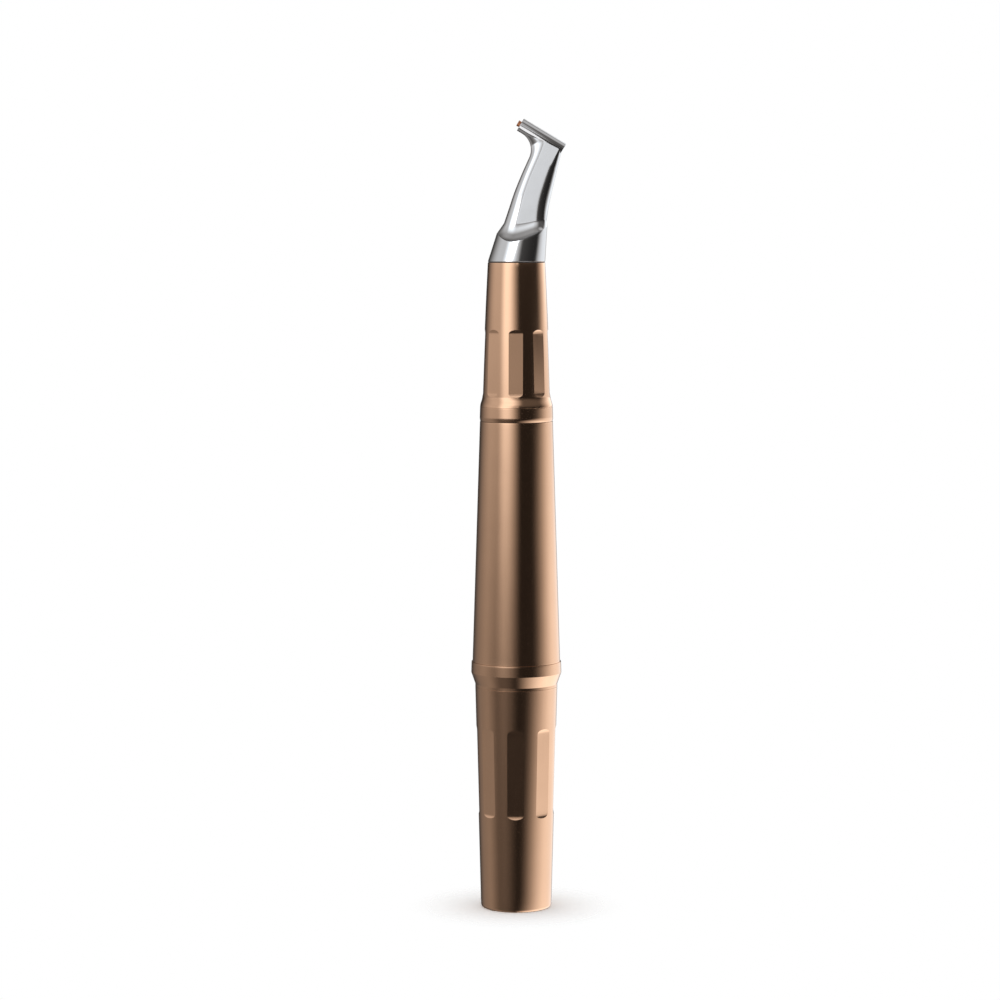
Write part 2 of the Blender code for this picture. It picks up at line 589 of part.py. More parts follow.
# Nozzle group: what swivels with the head


def front_radius(height):
    """The front sleeve's outer radius: a flare at its foot, then a slightly bowed taper."""
    if height < FRONT_FLARE_LENGTH:
        return eased(FRONT_BASE_RADIUS, GRIP_RADIUS, height / FRONT_FLARE_LENGTH)
    share = (height - FRONT_FLARE_LENGTH) / (FRONT_LENGTH - FRONT_FLARE_LENGTH)
    return GRIP_RADIUS - (GRIP_RADIUS - FRONT_TOP_RADIUS) * ((1 - FRONT_BOW) * share + FRONT_BOW * share**2)


def make_front(group, bronze):
    flare = [FRONT_FLARE_LENGTH * (step + 1) / FLARE_STEPS for step in range(FLARE_STEPS)]
    flute_end = FRONT_FLUTE_START + FRONT_FLUTE_LENGTH
    taper = [flute_end, (flute_end + FRONT_LENGTH) / 2, FRONT_LENGTH - EDGE_BREAK]
    outside = [(FRONT_BASE_RADIUS - EDGE_BREAK, Z_FRONT), (FRONT_BASE_RADIUS, Z_FRONT + EDGE_BREAK)]
    outside += [(front_radius(height), Z_FRONT + height) for height in flare + taper]
    inside = [
        (FRONT_TOP_RADIUS - EDGE_BREAK, Z_FRONT + FRONT_LENGTH),
        (STEM_RADIUS + SEAT_GAP, Z_FRONT + FRONT_LENGTH),
        (STEM_RADIUS + SEAT_GAP, Z_FRONT + FLANGE_SOCKET),
        (STEM_FLANGE_RADIUS + SEAT_GAP, Z_FRONT + FLANGE_SOCKET),
        (STEM_FLANGE_RADIUS + SEAT_GAP, Z_FRONT),
    ]
    sleeve = turned("front_sleeve", outside + inside, OUTER_SIDES, group, bronze)
    flutes = (FRONT_FLUTE_START, FRONT_FLUTE_LENGTH, FRONT_FLUTE_WIDTH)
    cut(sleeve, flute_cutter("front_flute_cutter", front_radius, Z_FRONT, *flutes))

    top = Z_COLLAR + COLLAR_LENGTH
    bore = STEM_FLANGE_RADIUS + SEAT_GAP
    pocket = Z_HANDLE_FRONT + WIPER_THICKNESS + 2 * SEAL_GAP + SEAT_GAP
    profile = [(bore, pocket), (WIPER_RADIUS + SEAT_GAP, pocket), (WIPER_RADIUS + SEAT_GAP, Z_COLLAR)]
    profile += [(radius, Z_COLLAR + height) for radius, height in reversed(groove_edge(COLLAR_RADIUS))]
    profile += [(COLLAR_RADIUS, top - EDGE_BREAK), (COLLAR_RADIUS - EDGE_BREAK, top), (bore, top)]
    turned("collar_ring", profile, OUTER_SIDES, group, bronze)


def make_stem(group, materials):
    steel, rubber = materials["steel"], materials["rubber"]
    groove = SEAL_THICKNESS + 2 * SEAL_GAP
    seal_floor = JOURNAL_RADIUS + RUN_GAP - SEAL_GAP - SEAL_THICKNESS - SEAL_GAP
    clip_floor = JOURNAL_RADIUS - CLIP_GROOVE
    seals = [Z_STEM + groove + share * STEM_SEAL_SPACING for share in (0, 1)]
    socket = SPIGOT_RADIUS + SEAT_GAP
    outside = [(JOURNAL_RADIUS, Z_STEM)]
    for height in seals:
        low, high = height - groove / 2, height + groove / 2
        outside += [(JOURNAL_RADIUS, low), (seal_floor, low), (seal_floor, high), (JOURNAL_RADIUS, high)]
    low, high = Z_STEM_CLIP - SEAL_GAP, Z_STEM_CLIP + STEM_CLIP_THICKNESS + SEAL_GAP
    outside += [(JOURNAL_RADIUS, low), (clip_floor, low), (clip_floor, high), (JOURNAL_RADIUS, high)]
    outside += [
        (JOURNAL_RADIUS, Z_STEM_FLANGE),
        (STEM_FLANGE_RADIUS, Z_STEM_FLANGE),
        (STEM_FLANGE_RADIUS, Z_STEM_SHOULDER),
        (STEM_RADIUS, Z_STEM_SHOULDER),
        (STEM_RADIUS, Z_STEM_TOP),
    ]
    inside = [
        (socket, Z_STEM_TOP),
        (socket, Z_HEAD - SPIGOT_LENGTH - SEAT_GAP),
        (STEM_BORE_RADIUS, Z_HEAD - SPIGOT_LENGTH - SEAT_GAP),
        (STEM_BORE_RADIUS, Z_STEM),
    ]
    turned("swivel_stem", outside + inside, INNER_SIDES, group, steel)
    for name, height in zip(("stem_rear_seal", "stem_front_seal"), seals):
        seal_ring(name, seal_floor + SEAL_GAP, SEAL_THICKNESS, height, group, rubber)
    plain_ring(
        "stem_clip", clip_floor + SEAL_GAP, JOURNAL_RADIUS + STEM_CLIP_WIDTH, Z_STEM_CLIP,
        STEM_CLIP_THICKNESS, group, steel, sweep=2 * math.pi - CLIP_OPENING,
    )


# Head


def smooth_station(share, column):
    """A value of the neck's stations at a share of its length, on a smooth curve through them."""
    rows = NECK_STATIONS
    last = len(rows) - 2
    index = max(0, min(last, sum(row[0] <= share for row in rows) - 1))
    before, low, high, after = (rows[max(0, min(last + 1, index + k))] for k in (-1, 0, 1, 2))
    t = (share - low[0]) / (high[0] - low[0])
    span = high[0] - low[0]
    slope_low = (high[column] - before[column]) / (high[0] - before[0]) * span
    slope_high = (after[column] - low[column]) / (after[0] - low[0]) * span
    if not 0 <= t <= 1:
        return low[column] + (high[column] - low[column]) * t
    return (
        (2 * t**3 - 3 * t**2 + 1) * low[column] + (t**3 - 2 * t**2 + t) * slope_low
        + (3 * t**2 - 2 * t**3) * high[column] + (t**3 - t**2) * slope_high
    )


def slot_section(front, back, half, front_round, back_round, turn):
    """Reach along the bend plane and sideways: flat sides between rounded front and back edges."""
    along = math.cos(turn)
    if abs(along) <= FLAT_SHARE:
        share = (along / FLAT_SHARE + 1) / 2
        reach = (front_round - front) * (1 - share) + (back - back_round) * share
        return reach, math.copysign(half, math.sin(turn))
    out = (abs(along) - FLAT_SHARE) / (1 - FLAT_SHARE)
    side = half * (1 - out**ROUND_POWER) ** (1 / ROUND_POWER)
    reach = back - back_round * (1 - out) if along > 0 else front_round * (1 - out) - front
    return reach, math.copysign(side, math.sin(turn))


def neck_values(height):
    """Reach to the front and back, half thickness and both roundings of the neck at a height."""
    columns = range(1, len(NECK_STATIONS[0]))
    return [smooth_station(height / NECK_LENGTH, column) for column in columns]


def neck_point(height, turn):
    along, sideways = slot_section(*neck_values(height), turn)
    return KNEE + NECK_UP * height + NECK_BACKWARD * along + SIDEWAYS * sideways


def cone_point(height, turn):
    """A point on the leaning cone at a height above the head's foot."""
    radius = FRONT_TOP_RADIUS - CONE_TAPER * height
    along = CONE_LEAN * height + radius * math.cos(turn)
    return Vector((along, radius * math.sin(turn), Z_HEAD + height))


def scoop_edge(turn):
    """Where the scoop leaves the cone: lowest towards the front of the flat sides."""
    along = math.cos(turn) + SCOOP_SHIFT
    climb = SCOOP_BACK if along > 0 else SCOOP_FRONT
    return cone_point(SCOOP_LOW + climb * abs(along) ** SCOOP_POWER, turn)


def neck_foot(turn):
    """Height on the neck where it leaves the scoop."""
    along = math.cos(turn)
    front = max(0.0, (-along - FOOT_FRONT) / (1 - FOOT_FRONT))
    return FOOT_HEIGHT + FOOT_SLANT * along + FOOT_RISE * front**2


def scoop_point(turn, share):
    """The hollow between the cone's edge and the foot of the neck: deep on the flanks, plain in front."""
    edge, foot = scoop_edge(turn), neck_point(neck_foot(turn), turn)
    depth = abs(math.sin(turn))
    lean = math.pi / 2 + (CREASE_LEAN - math.pi / 2) * share
    inward = share + (math.cos(lean) / math.cos(CREASE_LEAN) - share) * depth
    upward = share + ((1 - math.sin(lean)) / (1 - math.sin(CREASE_LEAN)) - share) * depth
    step = foot - edge
    return edge + Vector((step.x * inward, step.y * inward, step.z * upward))


def web_fillet():
    """Centre of the fillet between the neck's front edge and the barrel's underside, and its two end arms."""
    low, high = (neck_point(NECK_LENGTH * row[0], math.pi) for row in NECK_STATIONS[-2:])
    edge_way = (high - low).normalized()
    under = ELBOW - BARREL_UP * BARREL_RADIUS
    corner = high + edge_way * ((under - high).dot(BARREL_UP) / edge_way.dot(BARREL_UP))
    half_turn = JET_WAY.angle(-edge_way) / 2
    tangent = WEB_ROUND / math.tan(half_turn)
    centre = corner + (JET_WAY - edge_way).normalized() * (WEB_ROUND / math.sin(half_turn))
    return centre, corner - edge_way * tangent - centre, corner + JET_WAY * tangent - centre


def web_start():
    """Height on the neck where the fillet begins."""
    centre, from_neck, _ = web_fillet()
    return (centre + from_neck - KNEE).dot(NECK_UP)


def web_ring(turns, share):
    """A section of the web on an arm from the fillet's centre, between the neck and the barrel."""
    centre, from_neck, from_barrel = web_fillet()
    arm = swung(from_neck, from_barrel, share)
    way, inward = arm.normalized(), from_neck.normalized()
    face = centre + arm
    start = web_start()
    front, back, _, front_round, back_round = neck_values(start)
    neck_axis = KNEE + NECK_UP * start
    to_axis = (ELBOW - face).dot(BARREL_UP) / way.dot(BARREL_UP)
    nose = WEB_NOSE_LIMIT * to_axis
    if way.dot(inward) > WEB_FLAT_LIMIT:
        flat_line = neck_axis + NECK_BACKWARD * (front_round - front)
        nose = min(nose, (flat_line - face).dot(inward) / way.dot(inward))
    neck_behind = neck_axis + NECK_BACKWARD * back
    heel = BARREL_END + JET_WAY * 2 * BARREL_EDGE - neck_behind
    across = Vector((-way.z, 0, way.x))
    climb = (face - neck_behind).dot(across) / heel.dot(across)
    if 0 <= climb <= 1:
        reach = (neck_behind + heel * climb - face).dot(way)
        back_round += (WEB_EDGE - back_round) * climb
    else:
        back_round = WEB_BURIED * BARREL_RADIUS
        reach = to_axis + back_round
    ring = []
    for turn in turns:
        lengthwise, sideways = slot_section(0, reach, 1, nose, back_round, turn)
        point = face + way * lengthwise
        half = neck_values((point - KNEE).dot(NECK_UP))[2]
        ring.append(point + SIDEWAYS * half * sideways)
    return ring


def head_rings():
    """Rings from the spigot's foot up the cone, the scoop, the neck and the web under the barrel."""
    turns = [2 * math.pi * (side + 0.5) / HEAD_SIDES for side in range(HEAD_SIDES)]
    flat = [Vector((math.cos(turn), math.sin(turn), 0)) for turn in turns]
    seal_room = SEAL_THICKNESS / 2 + SEAL_GAP
    seal_height = Z_HEAD - SPIGOT_SEAL_DROP
    seal_floor = SPIGOT_RADIUS + SEAT_GAP - SEAL_THICKNESS - 2 * SEAL_GAP
    spigot = [
        (SPIGOT_RADIUS, Z_HEAD - SPIGOT_LENGTH),
        (SPIGOT_RADIUS, seal_height - seal_room),
        (seal_floor, seal_height - seal_room),
        (seal_floor, seal_height + seal_room),
        (SPIGOT_RADIUS, seal_height + seal_room),
        (SPIGOT_RADIUS, Z_HEAD),
        (FRONT_TOP_RADIUS, Z_HEAD),
    ]
    rings = [[way * radius + Vector((0, 0, height)) for way in flat] for radius, height in spigot]
    rings.append([cone_point(0, turn).lerp(scoop_edge(turn), 0.5) for turn in turns])
    rings += [[scoop_point(turn, step / SCOOP_STEPS) for turn in turns] for step in range(SCOOP_STEPS + 1)]
    neck_top = web_start()
    for step in range(1, NECK_STEPS + 1):
        share = step / NECK_STEPS
        heights = [neck_foot(turn) + (neck_top - neck_foot(turn)) * share for turn in turns]
        rings.append([neck_point(height, turn) for height, turn in zip(heights, turns)])
    rings += [web_ring(turns, (step + 1) / WEB_STEPS) for step in range(WEB_STEPS)]
    sink = (BARREL_UP + JET_WAY) * WEB_BURIED * BARREL_RADIUS
    rings.append([point + sink for point in rings[-1]])
    return rings


def make_barrel():
    """The cross barrel, with small chamfers, as a tube along its own axis."""
    length = BARREL_FRONT + BARREL_REAR
    stops = ((0, BARREL_EDGE), (BARREL_EDGE, 0), (length - BARREL_EDGE, 0), (length, BARREL_EDGE))
    rings = []
    for distance, inset in stops:
        centre = BARREL_TIP - JET_WAY * distance
        turns = [2 * math.pi * side / INNER_SIDES for side in range(INNER_SIDES)]
        reach = BARREL_RADIUS - inset
        rings.append([centre + (BARREL_UP * math.cos(a) + SIDEWAYS * math.sin(a)) * reach for a in turns])
    return finish_mesh("barrel_form", lofted(rings))


def make_head(group, materials):
    chrome, copper, steel, rubber = (materials[key] for key in ("chrome", "copper", "steel", "rubber"))
    head = finish_mesh("nozzle_head", lofted(head_rings()), group, chrome)
    cut(head, make_barrel(), "UNION")
    foot = Vector((0, 0, Z_HEAD - SPIGOT_LENGTH - CUT_PAST))
    passage = rounded_path([foot, KNEE, ELBOW, BARREL_TIP + JET_WAY * CUT_PAST], [KNEE_BEND, ELBOW_BEND])
    cut(head, swept("passage_drill", passage, PASSAGE_RADIUS))
    plug_room = [BARREL_END - JET_WAY * CUT_PAST, BARREL_END + JET_WAY * (PLUG_LENGTH + SEAT_GAP)]
    cut(head, swept("plug_drill", plug_room, PASSAGE_RADIUS))
    plug = [BARREL_END, BARREL_END + JET_WAY * PLUG_LENGTH]
    swept("barrel_plug", plug, PASSAGE_RADIUS - SEAT_GAP, group=group, material=chrome)

    turn_room = ELBOW_BEND / math.tan((math.pi - NECK_UP.angle(JET_WAY)) / 2)
    jet_start = ELBOW + JET_WAY * (turn_room + SEAT_GAP)
    jet = [jet_start + JET_WAY * SEAT_GAP, BARREL_TIP + JET_WAY * JET_PROUD]
    swept("jet_nozzle", jet, JET_RADIUS, JET_BORE_RADIUS, group=group, material=copper)
    foot = Vector((0, 0, Z_STEM + SEAT_GAP))
    feed = rounded_path([foot, KNEE, ELBOW, jet_start], [KNEE_BEND, ELBOW_BEND])
    swept("powder_tube", feed, JET_RADIUS, JET_BORE_RADIUS, group=group, material=steel)
    seal_bore = SPIGOT_RADIUS + SEAT_GAP - SEAL_THICKNESS - SEAL_GAP
    seal_ring("head_seal", seal_bore, SEAL_THICKNESS, Z_HEAD - SPIGOT_SEAL_DROP, group, rubber)


def main():
    clear_scene()
    materials = {
        "bronze": make_material("bronze_anodised", (0.62, 0.39, 0.26), 0.30, 1.0),
        "chrome": make_material("polished_chrome", (0.80, 0.80, 0.81), 0.06, 1.0),
        "steel": make_material("turned_steel", (0.62, 0.62, 0.63), 0.30, 1.0),
        "copper": make_material("copper_jet", (0.52, 0.21, 0.10), 0.35, 1.0),
        "rubber": make_material("black_rubber", (0.02, 0.02, 0.02), 0.60, 0.0),
        "polymer": make_material("white_polymer", (0.80, 0.80, 0.77), 0.45, 0.0),
    }
    handle = make_empty("handle_group", Z_HANDLE)
    nozzle = make_empty("nozzle_group", Z_COLLAR)
    coupling = make_empty("coupling_group", 0)
    make_coupling(coupling, materials["bronze"])
    make_tail(handle, materials)
    make_handle(handle, materials)
    make_front(nozzle, materials["bronze"])
    make_stem(nozzle, materials)
    make_head(nozzle, materials)


main()
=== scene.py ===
"""Powder-jet dental handpiece: fine casings, head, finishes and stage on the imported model.

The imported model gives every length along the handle. The radii and the shapes that a user would
change are properties of the scene, and each operator builds one piece or one group of like pieces.
"""

import json
import math

import bmesh
import bpy
from bpy.props import FloatProperty, FloatVectorProperty, IntProperty, PointerProperty
from mathutils import Matrix, Vector


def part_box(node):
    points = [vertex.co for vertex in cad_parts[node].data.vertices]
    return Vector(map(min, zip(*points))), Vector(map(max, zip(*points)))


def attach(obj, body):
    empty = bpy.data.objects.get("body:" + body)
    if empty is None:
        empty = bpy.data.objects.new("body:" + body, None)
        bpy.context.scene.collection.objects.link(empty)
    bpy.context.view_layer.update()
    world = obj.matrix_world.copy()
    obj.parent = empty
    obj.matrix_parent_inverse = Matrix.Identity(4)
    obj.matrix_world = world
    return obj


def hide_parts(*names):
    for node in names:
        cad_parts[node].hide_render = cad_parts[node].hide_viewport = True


bl_info = {
    "name": "Powder-jet handpiece",
    "version": (1, 0, 0),
    "blender": (4, 5, 0),
    "location": "3D View > Sidebar > Handpiece",
    "description": "Builds the fine surfaces of a dental handpiece on its packed model",
    "category": "Object",
}

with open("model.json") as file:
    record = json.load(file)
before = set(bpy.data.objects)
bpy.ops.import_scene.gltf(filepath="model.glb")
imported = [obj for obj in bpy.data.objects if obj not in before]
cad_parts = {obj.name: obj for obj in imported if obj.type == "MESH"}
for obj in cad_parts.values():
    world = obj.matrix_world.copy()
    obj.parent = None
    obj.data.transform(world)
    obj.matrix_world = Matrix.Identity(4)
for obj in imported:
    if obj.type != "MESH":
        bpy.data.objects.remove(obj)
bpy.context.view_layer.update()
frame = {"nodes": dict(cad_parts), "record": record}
MM = 0.001
AXIS_SEGMENTS = 160
SMALL_SEGMENTS = 64
CLEARANCE = 0.1 * MM
MERGE_DISTANCE = 0.0002 * MM
SIDEWAYS = Vector((0, 1, 0))
PORT_SEALS = ("powder_port_seal", "water_port_seal")
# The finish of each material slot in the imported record
FINISH_NAMES = {
    "bronze_casing": "bronze_anodised",
    "chrome_head": "polished_chrome",
    "inner_steel": "turned_steel",
    "copper_jet": "copper_tube",
    "black_rubber": "seal_rubber",
    "white_polymer": "bearing_polymer",
}


def span(node):
    """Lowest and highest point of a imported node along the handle."""
    low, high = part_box(node)
    return low.z, high.z


def reach(node):
    """Half the width of a packed round node."""
    low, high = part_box(node)
    return (high.y - low.y) / 2


def offset(node):
    """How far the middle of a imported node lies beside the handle's axis."""
    low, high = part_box(node)
    return (low.x + high.x) / 2


def between(start, end, share):
    """The value at a share of the way from start to end."""
    return start + (end - start) * share


# Sizes and colours that a user would change


def length_prop(name, description, default):
    return FloatProperty(
        name=name, description=description, default=default, subtype="DISTANCE", unit="LENGTH"
    )


def angle_prop(name, description, degrees):
    return FloatProperty(
        name=name, description=description, default=math.radians(degrees), subtype="ANGLE"
    )


def number_prop(name, description, default):
    return FloatProperty(name=name, description=description, default=default)


def colour_prop(name, description, default):
    return FloatVectorProperty(
        name=name, description=description, default=default, size=3, min=0, max=1, subtype="COLOR"
    )


class CasingSizes(bpy.types.PropertyGroup):
    """Radii and edges of the turned casings."""

    rim_radius: length_prop("Rim radius", "Coupling's radius at its rear rim", 7.45 * MM)
    rim_round: length_prop("Rim rounding", "Rounding of the coupling's rear edge", 0.6 * MM)
    coupling_radius: length_prop("Coupling radius", "Coupling's radius in front", 8.65 * MM)
    socket_radius: length_prop("Socket radius", "Bore that a hose plug enters", 6.2 * MM)
    shank_radius: length_prop("Shank radius", "Tail block inside the coupling", 5.3 * MM)
    ring_radius: length_prop("Ring radius", "Largest radius of the ring", reach("tail_ring"))
    ring_land: length_prop("Ring land", "Height where the ring's slope starts", 0.6 * MM)
    ring_slope: length_prop("Ring slope", "Height where the ring's slope ends", 3.0 * MM)
    ring_crease: length_prop("Ring crease", "How far the slope's corners soften", 0.4 * MM)
    ring_taper: length_prop("Ring taper", "How much slimmer the ring is in front", 0.065 * MM)
    handle_rear_radius: length_prop(
        "Handle rear radius", "Casing's radius behind, without its step", reach("handle_body")
    )
    handle_step: length_prop("Handle step", "How far the casing steps in behind", 0.15 * MM)
    handle_front_radius: length_prop("Handle front radius", "Casing's front radius", 7.64 * MM)
    groove_dip: length_prop("Groove dip", "How far the collar sinks at its groove", 0.12 * MM)
    groove_run: length_prop("Groove run", "Length of that dip", 0.85 * MM)
    collar_radius: length_prop("Collar radius", "Collar's largest radius", reach("collar_ring"))
    collar_taper: length_prop("Collar taper", "How much slimmer it gets in front", 0.07 * MM)
    front_base_radius: length_prop(
        "Front foot radius", "Front sleeve at its foot", reach("front_sleeve")
    )
    grip_radius: length_prop("Grip radius", "Front sleeve above its flare", 7.12 * MM)
    front_top_radius: length_prop("Front top radius", "Front sleeve under the head", 5.99 * MM)
    front_flare: length_prop("Front flare", "Length of the front sleeve's flare", 2.3 * MM)
    front_bow: number_prop("Front bow", "Share of the taper that lies near the top", 0.25)
    wall: length_prop("Wall", "Wall of the front sleeve", 1.3 * MM)
    edge: length_prop("Edge", "Small rounding of the casings' edges", 0.025 * MM)
    crease: length_prop("Crease", "From an edge to the row that keeps it crisp", 0.1 * MM)
    seam_fill: length_prop("Seam fill", "How far a casing reaches into a seam", 0.022 * MM)
    groove_fill: length_prop(
        "Groove fill", "How far the handle and the collar reach into their groove", 0.09 * MM
    )


class FluteSizes(bpy.types.PropertyGroup):
    """The flat flutes of both sleeves."""

    count: IntProperty(
        name="Flutes", description="Flutes round each sleeve", default=8, min=3, max=24
    )
    turn: angle_prop("Turn", "Turn of the flutes about the handle", -1.5)
    run_out: length_prop("Run-out radius", "Rounding at both ends of a flute", 2.3 * MM)
    rear_start: length_prop("Rear start", "Start of the rear flutes above the rim", 19.8 * MM)
    rear_length: length_prop("Rear length", "Length of the rear flutes", 19.0 * MM)
    rear_width: length_prop("Rear width", "Width of the rear flutes", 3.45 * MM)
    front_start: length_prop("Front start", "Start of the front flutes", 2.2 * MM)
    front_length: length_prop("Front length", "Length of the front flutes", 14.0 * MM)
    front_width: length_prop("Front width", "Width of the front flutes", 2.97 * MM)


class HeadSizes(bpy.types.PropertyGroup):
    """The chrome head: cone, scoop, neck and barrel."""

    knee_rise: length_prop("Knee rise", "Height at which the neck starts to lean", 1.6 * MM)
    neck_tilt: angle_prop("Neck tilt", "Lean of the neck", 16.8)
    neck_length: length_prop("Neck length", "From the knee to the barrel's axis", 24.20 * MM)
    cone_lean: number_prop("Cone lean", "Sideways shift per unit of height", 0.19)
    cone_taper: number_prop("Cone taper", "Loss of radius per unit of height", 0.13)
    barrel_radius: length_prop("Barrel radius", "Radius of the cross barrel", 1.44 * MM)
    barrel_tilt: angle_prop("Barrel tilt", "Climb of the barrel", 30.6)
    barrel_front: length_prop("Barrel front", "From the neck's axis to the tip", 7.19 * MM)
    barrel_rear: length_prop("Barrel rear", "From the neck's axis to the rear", 3.08 * MM)
    scoop_low: length_prop("Scoop height", "Lowest height of the scoop's edge", 4.2 * MM)
    scoop_front: length_prop("Scoop front", "Climb of that edge to the front", 4.0 * MM)
    scoop_back: length_prop("Scoop back", "Climb of that edge to the back", 1.8 * MM)
    scoop_shift: number_prop("Scoop shift", "Lowest place, towards the front", 0.38)
    foot_height: length_prop("Flat height", "Height on the neck of its flats' foot", 6.7 * MM)
    foot_slant: length_prop("Flat slant", "How much later they begin behind", 1.7 * MM)
    foot_rise: length_prop("Foot rise", "How much higher the neck begins in front", 0.4 * MM)
    web_edge: length_prop("Web edge", "Rounding of the web's back edge", 0.8 * MM)
    web_round: length_prop("Web fillet", "Fillet between neck and barrel", 3.9 * MM)
    jet_radius: length_prop("Jet radius", "Radius of the jet tube", 0.63 * MM)
    jet_bore: length_prop("Jet bore", "Bore of the jet tube", 0.4 * MM)
    jet_proud: length_prop("Jet proud", "How far it stands out of the barrel", 0.65 * MM)
    passage_radius: length_prop("Passage radius", "Water passage round the jet", 0.85 * MM)


class FinishColours(bpy.types.PropertyGroup):
    """Colours of the finishes."""

    bronze: colour_prop("Bronze", "Anodised casings", (0.64, 0.394, 0.256))
    chrome: colour_prop("Chrome", "Polished head", (0.60, 0.60, 0.61))
    copper: colour_prop("Copper", "Jet tube", (0.50, 0.21, 0.105))
    steel: colour_prop("Steel", "Inner metal", (0.62, 0.62, 0.63))
    rubber: colour_prop("Rubber", "Seals", (0.020, 0.020, 0.021))
    polymer: colour_prop("Polymer", "Bush and washers", (0.80, 0.80, 0.77))
    floor: colour_prop("Floor", "Table under the handpiece", (0.98, 0.98, 0.98))


# Shader nodes as expressions


class Wire:
    """A node's output that Python operators turn into Math nodes."""

    def __init__(self, finish, socket):
        self.finish = finish
        self.socket = socket

    def __add__(self, other):
        return self.finish.math("ADD", self, other)

    def __sub__(self, other):
        return self.finish.math("SUBTRACT", self, other)

    def __rsub__(self, other):
        return self.finish.math("SUBTRACT", other, self)

    def __mul__(self, other):
        return self.finish.math("MULTIPLY", self, other)

    def __truediv__(self, other):
        return self.finish.math("DIVIDE", self, other)

    def __neg__(self):
        return self.finish.math("MULTIPLY", self, -1.0)

    def __abs__(self):
        return self.finish.math("ABSOLUTE", self)

    __radd__ = __add__
    __rmul__ = __mul__

    def limited(self, low=0.0, high=1.0):
        return self.finish.node("ShaderNodeClamp", {}, {"Value": self, "Min": low, "Max": high})

    def eased(self, low, high):
        """0 below low, 1 above high, and a smooth step between."""
        settings = {"interpolation_type": "SMOOTHSTEP"}
        sockets = {"Value": self, "From Min": low, "From Max": high}
        return self.finish.node("ShaderNodeMapRange", settings, sockets)


class Finish:
    """A material and its node tree, with one method that adds any node."""

    def __init__(self, name, metallic=0.0):
        self.material = bpy.data.materials.new(name)
        self.material.use_nodes = True
        self.tree = self.material.node_tree
        self.shader = self.tree.nodes["Principled BSDF"]
        self.feed("Metallic", metallic)

    def plug(self, value, socket):
        if isinstance(value, Wire):
            self.tree.links.new(value.socket, socket)
        else:
            socket.default_value = value

    def feed(self, name, value):
        """Gives the main shader a value or a link."""
        self.plug(value, self.shader.inputs[name])

    def show(self, shader):
        """Makes a shader the material's surface."""
        self.plug(shader, self.tree.nodes["Material Output"].inputs["Surface"])

    def node(self, kind, settings=None, sockets=None, output=0):
        made = self.tree.nodes.new(kind)
        for key, value in (settings or {}).items():
            setattr(made, key, value)
        for key, value in (sockets or {}).items():
            self.plug(value, made.inputs[key])
        return Wire(self, made.outputs[output])

    def math(self, operation, *values):
        return self.node("ShaderNodeMath", {"operation": operation}, dict(enumerate(values)))

    def place(self):
        return self.node("ShaderNodeTexCoord", output="Object")

    def axes(self, vector):
        split = self.node("ShaderNodeSeparateXYZ", {}, {"Vector": vector})
        return [Wire(self, output) for output in split.socket.node.outputs]

    def stretched(self, vector, scale):
        return self.node("ShaderNodeMapping", {}, {"Vector": vector, "Scale": scale})

    def noise(self, vector, scale, detail, roughness=0.5):
        sockets = {"Vector": vector, "Scale": scale, "Detail": detail, "Roughness": roughness}
        return self.node("ShaderNodeTexNoise", {}, sockets)

    def mixed(self, share, first, second):
        """A colour between two colours."""
        sockets = {"Factor": share, 6: first, 7: second}
        return self.node("ShaderNodeMix", {"data_type": "RGBA"}, sockets, output=2)

    def tones(self, share, colour, darkest, lightest):
        """A colour between two tones of one colour."""
        return self.mixed(share, shaded(colour, darkest), shaded(colour, lightest))

    def bump(self, height, strength, distance):
        sockets = {"Height": height, "Strength": strength, "Distance": distance}
        self.feed("Normal", self.node("ShaderNodeBump", {}, sockets))


def shaded(colour, factor):
    return (*(min(1.0, channel * factor) for channel in colour), 1)


# Finishes


def bronze_finish(colour, worn_heights):
    """Satin anodised bronze: blasted grain, faint drawn streaks and edges rubbed lighter."""
    finish = Finish("bronze_anodised", metallic=1.0)
    place = finish.place()
    height = finish.axes(place)[2]
    streaks = finish.noise(finish.stretched(place, (1.0, 1.0, 0.04)), scale=2600.0, detail=3.0)
    clouds = finish.noise(place, scale=180.0, detail=3.0)
    grain = finish.noise(place, scale=14000.0, detail=2.0, roughness=0.6)
    worn_width = 0.28 * MM
    worn = None
    for edge in worn_heights:
        near = (1.0 - abs(height - edge) / worn_width).limited()
        worn = near if worn is None else finish.math("MAXIMUM", worn, near)
    worn = worn * (clouds * 1.6 - 0.3).limited()
    tone = (clouds * 0.7 + streaks * 0.3).limited()
    even = finish.tones(tone, colour, darkest=0.93, lightest=1.06)
    finish.feed("Base Color", finish.mixed(worn * 0.45, even, shaded(colour, 1.35)))
    finish.feed("Roughness", 0.10 + streaks * 0.04 + grain * 0.03 - worn * 0.03)
    finish.bump(grain + streaks * 0.5, strength=0.08, distance=0.004 * MM)


def chrome_finish(colour):
    """Polished chrome with faint smears and hairline polishing marks."""
    finish = Finish("polished_chrome", metallic=1.0)
    place = finish.place()
    smears = finish.noise(place, scale=420.0, detail=3.0, roughness=0.55)
    hairs = finish.noise(finish.stretched(place, (1.0, 1.0, 0.12)), scale=9000.0, detail=2.0)
    finish.feed("Base Color", finish.tones(smears, colour, darkest=0.97, lightest=1.02))
    finish.feed("Roughness", 0.055 + smears * 0.05 + hairs * 0.02)
    finish.bump(hairs, strength=0.02, distance=0.002 * MM)


def copper_finish(colour):
    """Drawn copper tube, darker where it has tarnished."""
    finish = Finish("copper_tube", metallic=1.0)
    tarnish = finish.noise(finish.place(), scale=2200.0, detail=4.0, roughness=0.6)
    finish.feed("Base Color", finish.tones(tarnish, colour, darkest=0.72, lightest=1.2))
    finish.feed("Roughness", 0.22 + tarnish * 0.2)
    finish.bump(tarnish, strength=0.05, distance=0.004 * MM)


